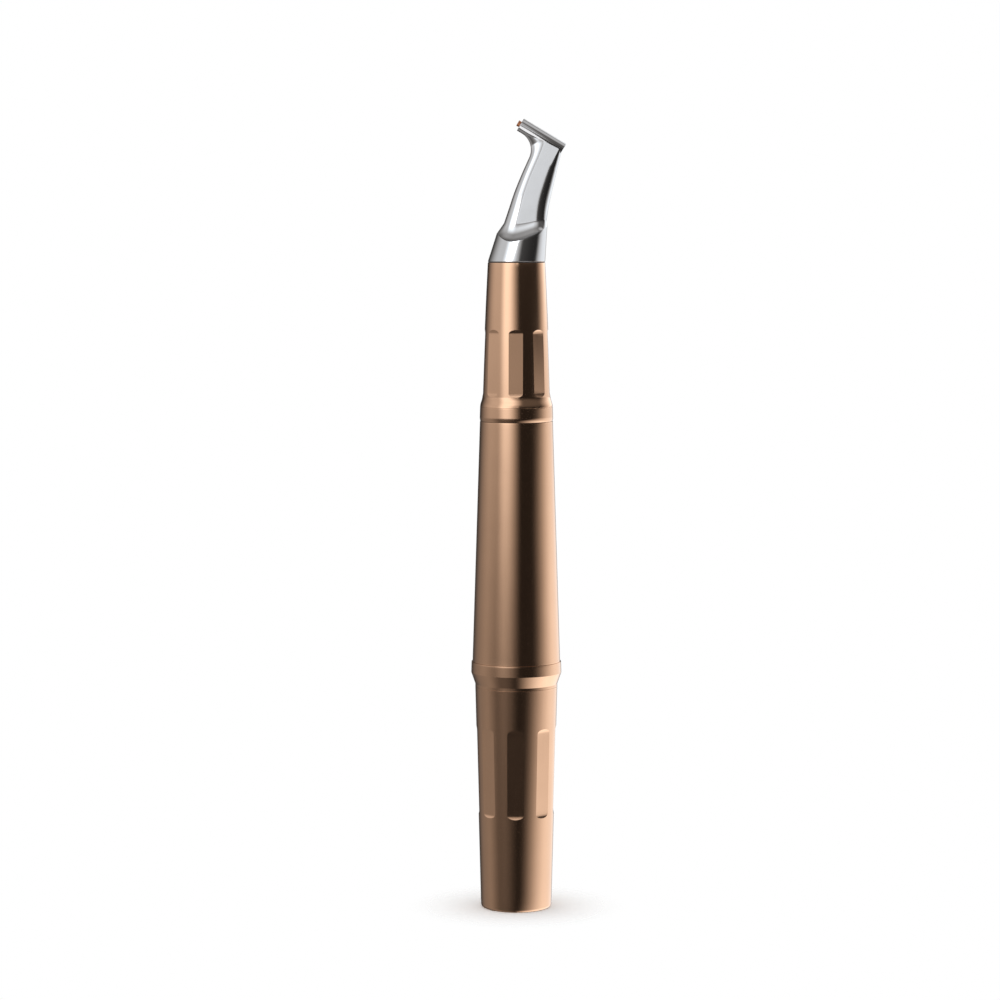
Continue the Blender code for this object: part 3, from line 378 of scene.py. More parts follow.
def steel_finish(colour):
    """Turned steel with fine rings from the lathe."""
    finish = Finish("turned_steel", metallic=1.0)
    place = finish.place()
    rings = finish.noise(finish.stretched(place, (0.02, 0.02, 1.0)), scale=6000.0, detail=2.0)
    clouds = finish.noise(place, scale=300.0, detail=2.0)
    finish.feed("Base Color", finish.tones(clouds, colour, darkest=0.9, lightest=1.05))
    finish.feed("Roughness", 0.2 + rings * 0.14)
    finish.bump(rings, strength=0.15, distance=0.006 * MM)


def soft_finish(name, colour, roughness, scale):
    """Rubber or polymer: dull, with a fine moulded grain."""
    finish = Finish(name)
    grain = finish.noise(finish.place(), scale, detail=3.0, roughness=0.6)
    finish.feed("Base Color", finish.tones(grain, colour, darkest=0.85, lightest=1.12))
    finish.feed("Roughness", roughness + grain * 0.15)
    finish.bump(grain, strength=0.1, distance=0.01 * MM)


def floor_finish(colour):
    """A pale table that keeps the shadow and fades into the white round it."""
    finish = Finish("pale_table")
    finish.feed("Base Color", (*colour, 1))
    finish.feed("Roughness", 0.9)
    finish.feed("Specular IOR Level", 0.0)
    fade_start, fade_end = 8 * MM, 24 * MM
    across, along, _ = finish.axes(finish.place())
    distance = finish.math("SQRT", across * across + along * along)
    behind = finish.node("ShaderNodeNewGeometry", output="Backfacing")
    clear = finish.math("MAXIMUM", distance.eased(fade_start, fade_end), behind)
    nothing = finish.node("ShaderNodeBsdfTransparent")
    table = Wire(finish, finish.shader.outputs["BSDF"])
    finish.show(finish.node("ShaderNodeMixShader", {}, {0: clear, 1: table, 2: nothing}))
    return finish.material


# Light panels

# Levels of the panels
DARK_STUDIO = 0.025
DARK_STUDIO_HIGH = 0.15
BACK_WALL = 0.1
LEFT_FILL = 0.8
LEFT_FILL_LOW = 0.12
SIDE_CARD = 0.24
KEY_STRIP = 0.95
KEY_STRIP_LOW = 0.1
RIGHT_PANEL = 1.4
RIGHT_PANEL_MIDDLE = 1.15
RIGHT_PANEL_HIGH = 1.8
RIGHT_PANEL_LOW = 1.8
CEILING = 0.12
OVERHEAD = 0.4
TOP_CARD = 0.65
FRONT_CARD = 0.73
# Dark flags give warm light and bright panels cool light, fully cool from one level on
FLAG_TINT = (1.0, 0.94, 0.89, 1)
PANEL_TINT = (0.99, 1.03, 1.06, 1)
COOL_LEVEL = 1.4


def left_panels(turn, height):
    """The fill on the left, the dim card under it and the key strip, at angles in degrees."""
    # The card stands where the fill fades towards the foot
    fading = height.eased(-7.5, 8)
    fill = between(LEFT_FILL_LOW, LEFT_FILL, fading) * (1.0 - 0.14 * height.eased(11, 20))
    card = SIDE_CARD * (1.0 - fading) * (1.0 - turn.eased(-95, -50)) * turn.eased(-172, -120)
    # The key strip fades too, and its outer edge comes forward on the way down
    key = KEY_STRIP_LOW * height.eased(-14, -8) + KEY_STRIP * height.eased(-4, 6.5)
    key = key * (turn - 1.2 * (6.0 - height.limited(2, 6))).eased(-66, -40)
    # The inner edge that all three share leans one way and then the other as it climbs
    slanted = turn - 0.5 * height.limited(-14, 0) - 0.9 * height.limited(0, 3)
    slanted = slanted + 1.5 * (height.limited(3, 7) - 3.0) - 1.4 * (height.limited(8, 12) - 8.0)
    slanted = slanted - 10.0 * height.eased(18, 34)
    return (fill * turn.eased(-155, -85) + card + key) * (1.0 - slanted.eased(-34, 14))


def right_panel(turn, height):
    """The bright panel on the right, at angles in degrees, with edges that shift in height."""
    raised = height.eased(1.5, 4.5)
    lowered = 1.0 - height.eased(-2.5, -0.5)
    inner_edge = 40.0 + 3.2 * height.limited(-20, 0) + 6.0 * height.limited(0, 2)
    inner_edge = inner_edge + 29.0 * raised + 16.0 * lowered
    outer_edge = 166.0 + 4.0 * height.limited(-14, -10) + 22.0 * raised - 6.0 * lowered
    level = between(RIGHT_PANEL_LOW, RIGHT_PANEL, height.eased(-24, -12))
    level = level + (RIGHT_PANEL_MIDDLE - RIGHT_PANEL) * height.eased(-3, 2)
    level = level + (RIGHT_PANEL_HIGH - RIGHT_PANEL_MIDDLE) * raised
    return level * turn.eased(inner_edge, outer_edge) * (1.0 - turn.eased(145, 180))


def patch(aside, above):
    """A round soft patch: 1 in its middle, 0 where the two shares make a circle of 1."""
    return (1.0 - aside * aside - above * above).limited()


def panel_finish():
    """Soft light panels and dark flags all round, seen only in the metal."""
    finish = Finish("studio_panels")
    finish.tree.nodes.remove(finish.shader)
    way = finish.node("ShaderNodeVectorMath", {"operation": "NORMALIZE"}, {0: finish.place()})
    across, along, rise = finish.axes(way)
    # Degrees round the object from the front, and degrees above the level of its foot
    turn = finish.math("ARCTAN2", across, -along) * math.degrees(1)
    height = finish.math("ARCSINE", rise) * math.degrees(1)

    level = between(DARK_STUDIO, DARK_STUDIO_HIGH, height.eased(2, 30))
    level = level + left_panels(turn, height) + right_panel(turn, height)
    level = level + BACK_WALL * abs(turn).eased(150, 178)
    overhead = (1.0 - across.eased(-0.35, 0.45)) * (1.0 - along.eased(-0.3, 0.6))
    level = between(level, CEILING + OVERHEAD * overhead, height.eased(30, 58))
    level = level + TOP_CARD * patch((turn - 80.0) / 70.0, (height - 62.0) / 22.0)
    # A gain above 1 makes the front card even in its middle
    gain = 1.6
    front = (gain * patch((turn - 3.0) / 5.5, (height - 13.4) / 3.0)).limited()
    level = level + FRONT_CARD * front

    tint = finish.mixed((level / COOL_LEVEL).limited(), FLAG_TINT, PANEL_TINT)
    finish.show(finish.node("ShaderNodeEmission", {}, {"Color": tint, "Strength": level}))
    finish.material.cycles.emission_sampling = "NONE"
    return finish.material


# Shapes


def arc(centre, radius, start, end, steps=6):
    """(radius, height) points on an arc, with angles in degrees from the outward direction."""
    angles = [math.radians(start + (end - start) * step / steps) for step in range(steps + 1)]
    return [(centre[0] + radius * math.cos(a), centre[1] + radius * math.sin(a)) for a in angles]


def rear_lip(radius, bottom, rounding, steps=6):
    """A rounded outer edge that faces the rear."""
    return arc((radius - rounding, bottom + rounding), rounding, -90, 0, steps)


def front_lip(radius, top, rounding, steps=6):
    """A rounded outer edge that faces the front."""
    return arc((radius - rounding, top - rounding), rounding, 0, 90, steps)


def guarded(outline, crease):
    """An outline with a row beside each of its corners, so that the corners stay crisp."""
    largest_share = 0.4
    points = [outline[0]]
    for start, end in zip(outline, outline[1:]):
        near = min(crease / math.dist(start, end), largest_share)
        for share in (near, 1 - near, 1.0):
            points.append(tuple(between(one, other, share) for one, other in zip(start, end)))
    return points


def swayed(start, end, share):
    """A smooth step from start to end."""
    return start + (end - start) * (1 - math.cos(math.pi * share)) / 2


def swung(start, end, share):
    """An arm turned part of the way from start to end, at the length of start."""
    return start.normalized().slerp(end.normalized(), share) * start.length


def drawn(profile):
    """A new bmesh with a closed (radius, height) profile."""
    bm = bmesh.new()
    points = [bm.verts.new((radius, 0, height)) for radius, height in profile]
    for first, second in zip(points, points[1:] + points[:1]):
        bm.edges.new((first, second))
    return bm


def spun(profile, segments=AXIS_SEGMENTS):
    """A closed (radius, height) profile turned about the handle's axis."""
    bm = drawn(profile)
    bmesh.ops.spin(
        bm, geom=bm.verts[:] + bm.edges[:], cent=(0, 0, 0), axis=(0, 0, 1),
        angle=2 * math.pi, steps=segments, use_merge=True,
    )
    bmesh.ops.remove_doubles(bm, verts=bm.verts, dist=MERGE_DISTANCE)
    bmesh.ops.recalc_face_normals(bm, faces=bm.faces)
    return bm


def made_verts(made):
    """The vertices that an extrusion made."""
    return [item for item in made["geom"] if isinstance(item, bmesh.types.BMVert)]


def loop_edges(bm, loop):
    return [bm.edges.get((loop[i - 1], loop[i])) for i in range(len(loop))]


def partner(vert, fresh):
    """The vertex among the fresh ones that an edge joins to this one."""
    others = [edge.other_vert(vert) for edge in vert.link_edges]
    return next(other for other in others if other in fresh)


def lofted(rings):
    """One ring of points extruded through the others and capped at both ends."""
    bm = bmesh.new()
    ring = bmesh.ops.create_circle(bm, cap_ends=False, radius=1, segments=len(rings[0]))["verts"]
    for vert, point in zip(ring, rings[0]):
        vert.co = point
    loops = [ring]
    for points in rings[1:]:
        fresh = set(made_verts(bmesh.ops.extrude_edge_only(bm, edges=loop_edges(bm, ring))))
        ring = [partner(vert, fresh) for vert in ring]
        for vert, point in zip(ring, points):
            vert.co = point
        loops.append(ring)
    bm.faces.new(loops[0])
    bm.faces.new(loops[-1])
    return bm, loops


def plain_object(name, bm):
    mesh = bpy.data.meshes.new(name)
    bm.to_mesh(mesh)
    bm.free()
    obj = bpy.data.objects.new(name, mesh)
    bpy.context.scene.collection.objects.link(obj)
    return obj


def combined(body, tool, operation):
    """The Boolean of two bmeshes, as a new bmesh."""
    body_object, tool_object = plain_object("body_form", body), plain_object("tool_form", tool)
    boolean = body_object.modifiers.new("cut", "BOOLEAN")
    boolean.operation = operation
    boolean.object = tool_object
    depsgraph = bpy.context.evaluated_depsgraph_get()
    result = bpy.data.meshes.new_from_object(body_object.evaluated_get(depsgraph))
    bm = bmesh.new()
    bm.from_mesh(result)
    for obj in (body_object, tool_object):
        mesh = obj.data
        bpy.data.objects.remove(obj)
        bpy.data.meshes.remove(mesh)
    bpy.data.meshes.remove(result)
    return bm


def slot_finish(slot):
    """The finish that belongs to a material slot."""
    material = bpy.data.materials.get(FINISH_NAMES[slot])
    if material is None:
        raise RuntimeError(f"the finish of {slot} isn't made yet")
    return material


def placed(name, bm, body, nodes, slot, sharp_degrees=7.0):
    """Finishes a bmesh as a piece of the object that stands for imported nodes."""
    bm.normal_update()
    obj = plain_object(name, bm)
    obj.data.materials.append(slot_finish(slot))
    obj.data.shade_smooth()
    obj.data.set_sharp_from_angle(angle=math.radians(sharp_degrees))
    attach(obj, body)
    if nodes:
        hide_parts(*nodes)
    return obj


def seal_ring(node, half, segments):
    """A round seal ring in the place of a packed one, given half its thickness."""
    low, high = span(node)
    section = arc((reach(node) - half, (low + high) / 2), half, 0, 360, steps=20)[:-1]
    ring = spun(section, segments)
    bmesh.ops.translate(ring, verts=ring.verts, vec=(offset(node), 0, 0))
    placed(f"{node}_fine", ring, "handle", [node], "black_rubber", sharp_degrees=30.0)


def flute_tool(flutes, casing_radius, base, start, length, width):
    """Prisms that cut flat flutes, whose floors follow the taper and run out at both ends."""
    half = width / 2
    side = half + 0.6 * MM
    floor_rows, ramp_steps = 16, 14
    ramp_turn = math.radians(50)

    def floor(height):
        return Vector((math.sqrt(casing_radius(height) ** 2 - half**2), height))

    run = math.sqrt(2 * flutes.run_out * (casing_radius(start) - floor(start).x))
    rows = range(floor_rows + 1)
    outline = [floor(start + run + (length - 2 * run) * row / floor_rows) for row in rows]
    angles = [ramp_turn * (step + 1) / ramp_steps for step in range(ramp_steps)]
    for last, before in ((outline[0], outline[1]), (outline[-1], outline[-2])):
        way = (last - before).normalized()
        out = Vector((abs(way.y), -way.x * math.copysign(1, way.y)))
        arms = [way * math.sin(angle) + out * (1 - math.cos(angle)) for angle in angles]
        ramp = [last + arm * flutes.run_out for arm in arms]
        outline = outline + ramp if way.y > 0 else ramp[::-1] + outline
    bm = bmesh.new()
    for flute in range(flutes.count):
        turn = flutes.turn + 2 * math.pi * flute / flutes.count - math.pi / 2
        out = Vector((math.cos(turn), math.sin(turn), 0))
        along = Vector((-math.sin(turn), math.cos(turn), 0))
        points = [out * radius - along * side + Vector((0, 0, base + z)) for radius, z in outline]
        face = bm.faces.new([bm.verts.new(point) for point in points])
        made = bmesh.ops.extrude_face_region(bm, geom=[face])
        bmesh.ops.translate(bm, verts=made_verts(made), vec=along * 2 * side)
    bmesh.ops.recalc_face_normals(bm, faces=bm.faces)
    return bm


# Operators


class HANDPIECE_OT_finishes(bpy.types.Operator):
    """Make every finish of the handpiece"""

    bl_idname = "handpiece.finishes"
    bl_label = "Finishes"

    def execute(self, context):
        colours = context.scene.finish_colours
        casings = ("coupling_sleeve", "tail_ring", "handle_body", "collar_ring", "front_sleeve")
        bronze_finish(colours.bronze, [height for node in casings for height in span(node)])
        chrome_finish(colours.chrome)
        copper_finish(colours.copper)
        steel_finish(colours.steel)
        soft_finish("seal_rubber", colours.rubber, roughness=0.5, scale=4000.0)
        soft_finish("bearing_polymer", colours.polymer, roughness=0.38, scale=2500.0)
        return {"FINISHED"}


class HANDPIECE_OT_inner_pieces(bpy.types.Operator):
    """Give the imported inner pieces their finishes"""

    bl_idname = "handpiece.inner_pieces"
    bl_label = "Inner pieces"

    def execute(self, context):
        slots = {part["node"]: part["material_slot"] for part in frame["record"]["subparts"]}
        for node, obj in frame["nodes"].items():
            obj.data.materials.clear()
            obj.data.materials.append(slot_finish(slots[node]))
        return {"FINISHED"}


class HANDPIECE_OT_coupling(bpy.types.Operator):
    """Build the fluted hose coupling with the thread in its socket"""

    bl_idname = "handpiece.coupling"
    bl_label = "Hose coupling"

    def execute(self, context):
        casing, flutes = context.scene.casing_sizes, context.scene.flute_sizes
        bottom, top = span("coupling_sleeve")
        top += casing.seam_fill

        def radius_at(height):
            share = (height - bottom) / (top - bottom)
            return between(casing.rim_radius, casing.coupling_radius, share)

        washer_room = reach("coupling_washer") + CLEARANCE
        washer_floor = span("coupling_washer")[0] - CLEARANCE
        shank_room = casing.shank_radius + CLEARANCE
        clip_room = span("sleeve_clip")[1] + CLEARANCE
        lip, socket = casing.edge, casing.socket_radius
        rows, rim_steps = 24, 14
        heights = [top * row / rows for row in range(1, rows)]
        profile = [(socket, bottom + lip), (socket + lip, bottom)]
        profile += rear_lip(casing.rim_radius, bottom, casing.rim_round, rim_steps)
        profile += [(radius_at(height), height) for height in heights]
        profile += front_lip(casing.coupling_radius, top, lip)
        profile += [(washer_room, top), (washer_room, washer_floor), (shank_room, washer_floor)]
        profile += [(shank_room, clip_room), (socket, clip_room)]
        tool = flute_tool(
            flutes, radius_at, bottom, flutes.rear_start, flutes.rear_length, flutes.rear_width
        )
        body = combined(spun(profile), tool, "DIFFERENCE")
        placed("coupling_sleeve_fine", body, "coupling", ["coupling_sleeve"], "bronze_casing")
        self.thread(socket)
        return {"FINISHED"}

    def thread(self, socket):
        """A ridge that winds up the socket from just inside its mouth."""
        pitch, turns, steps = 1.0 * MM, 8, 72
        base, sunk, depth = 1.6 * MM, 0.02 * MM, 0.28 * MM
        wall, crest = socket + sunk, socket - depth
        ridge = [(wall, base), (wall, base + 0.8 * pitch)]
        ridge += [(crest, base + 0.5 * pitch), (crest, base + 0.3 * pitch)]
        bm = drawn(ridge)
        bmesh.ops.spin(
            bm, geom=bm.verts[:] + bm.edges[:], cent=(0, 0, 0), axis=(0, 0, 1),
            angle=2 * math.pi * turns, steps=steps * turns, dvec=(0, 0, pitch / steps),
        )
        bmesh.ops.holes_fill(bm, edges=[edge for edge in bm.edges if edge.is_boundary], sides=0)
        bmesh.ops.recalc_face_normals(bm, faces=bm.faces)
        placed("socket_thread", bm, "coupling", [], "bronze_casing", sharp_degrees=20.0)


class HANDPIECE_OT_tail(bpy.types.Operator):
    """Build the raised ring, and the tail block with its ports and seals"""

    bl_idname = "handpiece.tail"
    bl_label = "Tail ring and block"

    def execute(self, context):
        casing = context.scene.casing_sizes
        bottom, top = span("tail_ring")
        bottom -= casing.seam_fill
        top += casing.seam_fill
        lip, wall = casing.edge, 2.65 * MM
        bore = casing.handle_rear_radius - wall
        slim = casing.ring_radius - casing.ring_taper
        outline = [
            (casing.coupling_radius, bottom + lip),
            (casing.coupling_radius, bottom + casing.ring_land),
            (casing.ring_radius, bottom + casing.ring_slope),
            (slim, top - lip),
        ]
        profile = [(bore, bottom), (casing.coupling_radius - lip, bottom)]
        profile += guarded(outline, casing.ring_crease)
        profile += front_lip(slim, top, lip)[1:] + [(bore, top)]
        placed("tail_ring_fine", spun(profile), "handle", ["tail_ring"], "bronze_casing")
        self.block(casing.shank_radius)
        for node in PORT_SEALS:
            low, high = span(node)
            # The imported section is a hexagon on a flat, so its height is the smaller measure
            half = (high - low) / 2 / math.cos(math.radians(30))
            seal_ring(node, half, SMALL_SEGMENTS)
        return {"FINISHED"}

    def block(self, shank):
        """The connector that a hose plug meets, with its two ports."""
        low, high = span("tail_block")
        flange = reach("tail_block")
        ledge, chamfer, seat_depth, seal_room = 0.85 * MM, 0.25 * MM, 1.0 * MM, 0.05 * MM
        powder_port, water_port = 1.0 * MM, 0.6 * MM
        powder_seat, water_seat = (reach(node) + seal_room for node in PORT_SEALS)
        seat = low + seat_depth
        ring_low, flange_low = span("tail_ring")[0], span("tail_ring")[1] + CLEARANCE
        profile = [(powder_port, seat), (powder_seat, seat), (powder_seat, low)]
        profile += [(shank - chamfer, low), (shank, low + chamfer), (shank, ring_low)]
        profile += [(flange - ledge, ring_low), (flange - ledge, flange_low)]
        profile += [(flange, flange_low), (flange, high), (powder_port, high)]
        past, axis = 0.2 * MM, 0.01 * MM
        water_way = [(axis, low - past), (water_seat, low - past), (water_seat, seat)]
        water_way += [(water_port, seat), (water_port, high + past), (axis, high + past)]
        drill = spun(water_way, SMALL_SEGMENTS)
        bmesh.ops.translate(drill, verts=drill.verts, vec=(offset("water_port_seal"), 0, 0))
        body = combined(spun(profile), drill, "DIFFERENCE")
        placed("tail_block_fine", body, "handle", ["tail_block"], "inner_steel", sharp_degrees=20.0)


class HANDPIECE_OT_handle(bpy.types.Operator):
    """Build the long tapered casing and the seal ring behind the swivel groove"""

    bl_idname = "handpiece.handle"
    bl_label = "Handle casing"

    def execute(self, context):
        casing = context.scene.casing_sizes
        bottom, top = span("handle_body")
        bottom -= casing.seam_fill
        top += casing.groove_fill
        length = top - bottom
        front, rear = casing.handle_front_radius, casing.handle_rear_radius - casing.handle_step
        lip, crease, rows = casing.edge, casing.crease, 40
        heights = [crease + (length - 2 * crease) * row / rows for row in range(rows + 1)]
        profile = rear_lip(rear, bottom, lip)
        profile += [(between(rear, front, height / length), bottom + height) for height in heights]
        profile += front_lip(front, top, lip)
        front_wall, front_depth = 1.9 * MM, 24 * MM
        rear_wall, rear_depth = 1.8 * MM, 6 * MM
        front_bore, rear_bore = front - front_wall, casing.handle_rear_radius - rear_wall
        profile += [(front_bore, top), (front_bore, top - front_depth)]
        profile += [(rear_bore, bottom + rear_depth), (rear_bore, bottom)]
        placed("handle_casing_fine", spun(profile), "handle", ["handle_body"], "bronze_casing")
        low, high = span("wiper_ring")
        seal_ring("wiper_ring", (high - low) / 2, AXIS_SEGMENTS)
        return {"FINISHED"}


class HANDPIECE_OT_front(bpy.types.Operator):
    """Build the collar, the fluted front sleeve and a black ring of painted shade in the seam under
    the head
    """

    bl_idname = "handpiece.front"
    bl_label = "Collar and front sleeve"

    def execute(self, context):
        casing, flutes = context.scene.casing_sizes, context.scene.flute_sizes
        collar_wall = 1.5 * MM
        bore = casing.collar_radius - collar_wall
        self.collar(casing, bore)
        self.sleeve(casing, flutes, bore)
        # A black ring of painted shade in the seam under the head
        self.seam_shade_ring(casing)
        return {"FINISHED"}

    def collar(self, casing, bore):
        """The band at the sleeve's foot, which dips towards the swivel groove."""
        bottom, top = span("collar_ring")
        bottom -= casing.groove_fill
        top += casing.seam_fill
        pocket, pocket_top = reach("wiper_ring") + CLEARANCE, span("wiper_ring")[1] + CLEARANCE
        lip, dip_steps = casing.edge, 10
        profile = [(bore, pocket_top), (pocket, pocket_top), (pocket, bottom)]
        for step in range(dip_steps, -1, -1):
            share = step / dip_steps
            radius = casing.collar_radius - casing.groove_dip * share**2
            profile.append((radius, bottom + casing.groove_run * (1 - share)))
        slim = casing.collar_radius - casing.collar_taper
        profile += guarded([profile[-1], (slim, top - lip)], casing.crease)[1:]
        profile += front_lip(slim, top, lip)[1:] + [(bore, top)]
        placed("collar_fine", spun(profile), "nozzle", ["collar_ring"], "bronze_casing")

    def sleeve(self, casing, flutes, bore):
        """The sleeve with its flutes, its flared foot and its bowed taper."""
        bottom, top = span("front_sleeve")
        bottom -= casing.seam_fill
        length = top - bottom
        flare, lip = casing.front_flare, casing.edge

        def radius_at(height):
            if height < flare:
                return swayed(casing.front_base_radius, casing.grip_radius, height / flare)
            share = (height - flare) / (length - flare)
            bow = (1 - casing.front_bow) * share + casing.front_bow * share**2
            return between(casing.grip_radius, casing.front_top_radius, bow)

        flare_rows, taper_rows = 16, 30
        heights = [lip + (flare - lip) * row / flare_rows for row in range(1, flare_rows + 1)]
        taper = length - lip - flare
        heights += [flare + taper * row / taper_rows for row in range(1, taper_rows)]
        profile = rear_lip(casing.front_base_radius, bottom, lip)
        profile += [(radius_at(height), bottom + height) for height in heights]
        profile += front_lip(casing.front_top_radius, top, lip)
        inner, foot_depth = casing.front_top_radius - casing.wall, 3 * MM
        profile += [(inner, top), (inner, bottom + foot_depth)]
        profile += [(bore, bottom + foot_depth), (bore, bottom)]
        tool = flute_tool(
            flutes, radius_at, bottom, flutes.front_start, flutes.front_length, flutes.front_width
        )
        body = combined(spun(profile), tool, "DIFFERENCE")
        placed("front_sleeve_fine", body, "nozzle", ["front_sleeve"], "bronze_casing")

    def seam_shade_ring(self, casing):
        """A black ring that fills the seam under the chrome head: painted shade standing in for the
        gap's shadow.
        """
        inset, thickness, gap = 0.09 * MM, 0.18 * MM, 0.01 * MM
        outer, inner = casing.front_top_radius - inset, casing.front_top_radius - casing.wall
        base = span("front_sleeve")[1] + gap
        top = base + thickness
        profile = [(inner, base), (outer, base), (outer, top), (inner, top)]
        # Painted shade: this black ring darkens the seam in place of the shadow in the gap
        placed("head_seam_shade_ring", spun(profile), "nozzle", [], "black_rubber", sharp_degrees=30.0)


class HeadForm:
    """Points of the head: a leaning cone, a scoop, a flat-sided neck and a web to the barrel."""

    # Share of the neck, reach to the front and back, half thickness, rounding at the front and back
    stations = (
        (0.20, 4.36 * MM, 4.90 * MM, 2.85 * MM, 2.85 * MM, 2.45 * MM),
        (0.36, 4.24 * MM, 3.97 * MM, 2.545 * MM, 2.50 * MM, 2.75 * MM),
        (0.50, 4.14 * MM, 3.50 * MM, 2.28 * MM, 2.25 * MM, 2.85 * MM),
        (0.66, 3.78 * MM, 3.23 * MM, 1.975 * MM, 2.05 * MM, 2.55 * MM),
        (0.80, 3.34 * MM, 3.02 * MM, 1.715 * MM, 2.00 * MM, 2.05 * MM),
        (0.90, 3.02 * MM, 2.84 * MM, 1.53 * MM, 2.00 * MM, 1.45 * MM),
    )
    columns = (1, 2, 3, 4, 5)
    sides = 192
    cone_rows, scoop_rows, neck_rows, web_rows = 12, 28, 44, 24
    seam = 0.2 * MM  # from the front sleeve to the cone
    spigot_step = 2.55 * MM  # from the cone's foot in to the spigot
    lip = 0.1 * MM  # chamfer at the cone's foot
    flat_share = 0.45  # cosine of the turn up to which a side is flat
    front_power, back_power = 2.5, 3.0  # squareness of the edges between the flats
    scoop_power = 1.8  # how late the scoop's edge climbs
    scoop_round = 0.10 * MM  # rounding of that edge
    foot_front = 0.3  # cosine from which the neck's foot rises in front
    crease_lean = math.radians(16)  # lean of the hollow where it meets the flat
    barrel_edge = 0.10 * MM  # rounding of the barrel's ends
    web_tip = 0.8 * MM  # half the web's thickness at the barrel's tip
    web_past = 1.0  # longer than any arm, for one that runs beside the flat
    least_facing = 0.2  # an arm that faces the flat less than this runs beside it
    nose_share = 0.92  # the web's front edge ends before the barrel's axis
    buried = 0.3  # share of the barrel's radius by which the web goes on inside it

    def __init__(self, head, casing):
        self.head, self.casing = head, casing
        self.base = span("front_sleeve")[1] + self.seam
        tilt, climb = head.neck_tilt, head.barrel_tilt
        self.neck_up = Vector((math.sin(tilt), 0, math.cos(tilt)))
        self.neck_back = Vector((math.cos(tilt), 0, -math.sin(tilt)))
        self.jet_way = Vector((-math.cos(climb), 0, math.sin(climb)))
        self.barrel_up = Vector((math.sin(climb), 0, math.cos(climb)))
        self.knee = Vector((0, 0, self.base + head.knee_rise))
        self.elbow = self.knee + self.neck_up * head.neck_length
        self.tip = self.elbow + self.jet_way * head.barrel_front
        self.end = self.elbow - self.jet_way * head.barrel_rear
        self.barrel_length = head.barrel_front + head.barrel_rear
        step = 2 * math.pi / self.sides
        self.turns = [step * (side + 0.5) for side in range(self.sides)]
        self.fillet = self.web_fillet()
        inward = self.fillet[1].normalized()
        self.top_slope = -inward.dot(self.neck_up) / inward.dot(self.neck_back)
        self.neck_top = (self.fillet[0] + self.fillet[1] - self.knee).dot(self.neck_up)

    def station(self, share, column):
        """A value of the stations on a smooth curve through them."""
        rows = self.stations
        last = len(rows) - 2
        index = max(0, min(last, sum(row[0] <= share for row in rows) - 1))
        before, low, high, after = (rows[max(0, min(last + 1, index + k))] for k in (-1, 0, 1, 2))
        gap = high[0] - low[0]
        t = (share - low[0]) / gap
        slope_low = (high[column] - before[column]) / (high[0] - before[0]) * gap
        slope_high = (after[column] - low[column]) / (after[0] - low[0]) * gap
        if not 0 <= t <= 1:
            return between(low[column], high[column], t)
        return (
            (2 * t**3 - 3 * t**2 + 1) * low[column] + (t**3 - 2 * t**2 + t) * slope_low
            + (3 * t**2 - 2 * t**3) * high[column] + (t**3 - t**2) * slope_high
        )

    def values_at(self, height):
        return [self.station(height / self.head.neck_length, column) for column in self.columns]

    def section(self, front, back, half, front_round, back_round, turn):
        """Reach along the bend plane and sideways: flat sides between two rounded edges."""
        along = math.cos(turn)
        if abs(along) <= self.flat_share:
            share = (along / self.flat_share + 1) / 2
            lengthwise = (front_round - front) * (1 - share) + (back - back_round) * share
            return lengthwise, math.copysign(half, math.sin(turn))
        out = (abs(along) - self.flat_share) / (1 - self.flat_share)
        if along > 0:
            power, lengthwise = self.back_power, back - back_round * (1 - out)
        else:
            power, lengthwise = self.front_power, front_round * (1 - out) - front
        sideways = half * (1 - out**power) ** (1 / power)
        return lengthwise, math.copysign(sideways, math.sin(turn))

    def neck_end(self, turn):
        """Height at which the neck meets the web's first section, lower at the back."""
        values = self.values_at(self.neck_top)
        return self.neck_top - self.top_slope * (self.section(*values, turn)[0] + values[0])

    def neck_point(self, height, turn):
        along, sideways = self.section(*self.values_at(height), turn)
        return self.knee + self.neck_up * height + self.neck_back * along + SIDEWAYS * sideways

    def cone_point(self, height, turn):
        radius = self.casing.front_top_radius - self.head.cone_taper * height
        along = self.head.cone_lean * height + radius * math.cos(turn)
        return Vector((along, radius * math.sin(turn), self.base + height))

    def scoop_edge(self, turn):
        head = self.head
        along = math.cos(turn) + head.scoop_shift
        climb = head.scoop_back if along > 0 else head.scoop_front
        return self.cone_point(head.scoop_low + climb * abs(along) ** self.scoop_power, turn)

    def neck_foot(self, turn):
        head = self.head
        along = math.cos(turn)
        front = max(0.0, (-along - self.foot_front) / (1 - self.foot_front))
        return head.foot_height + head.foot_slant * along + head.foot_rise * front**2

    def scoop_point(self, turn, share):
        """The hollow between the cone's edge and the neck: deep on the flanks, plain in front."""
        edge, foot = self.scoop_edge(turn), self.neck_point(self.neck_foot(turn), turn)
        depth = abs(math.sin(turn))
        # Lean from the vertical: level at the cone, and a little out of the flat at the neck
        lean = between(math.pi / 2, self.crease_lean, share)
        inward = math.cos(lean) / math.cos(self.crease_lean)
        upward = (1 - math.sin(lean)) / (1 - math.sin(self.crease_lean))
        inward, upward = between(share, inward, depth), between(share, upward, depth)
        step = foot - edge
        return edge + Vector((step.x * inward, step.y * inward, step.z * upward))

    def web_fillet(self):
        """Centre of the fillet between the neck's front and the barrel, and its end arms."""
        head = self.head
        shares = [row[0] for row in self.stations[-2:]]
        low, high = (self.neck_point(head.neck_length * share, math.pi) for share in shares)
        edge_way = (high - low).normalized()
        under = self.elbow - self.barrel_up * head.barrel_radius
        climb = (under - high).dot(self.barrel_up) / edge_way.dot(self.barrel_up)
        corner = high + edge_way * climb
        half_turn = self.jet_way.angle(-edge_way) / 2
        tangent = head.web_round / math.tan(half_turn)
        outward = (self.jet_way - edge_way).normalized()
        centre = corner + outward * (head.web_round / math.sin(half_turn))
        from_neck = corner - edge_way * tangent - centre
        from_barrel = corner + self.jet_way * tangent - centre
        return centre, from_neck, from_barrel

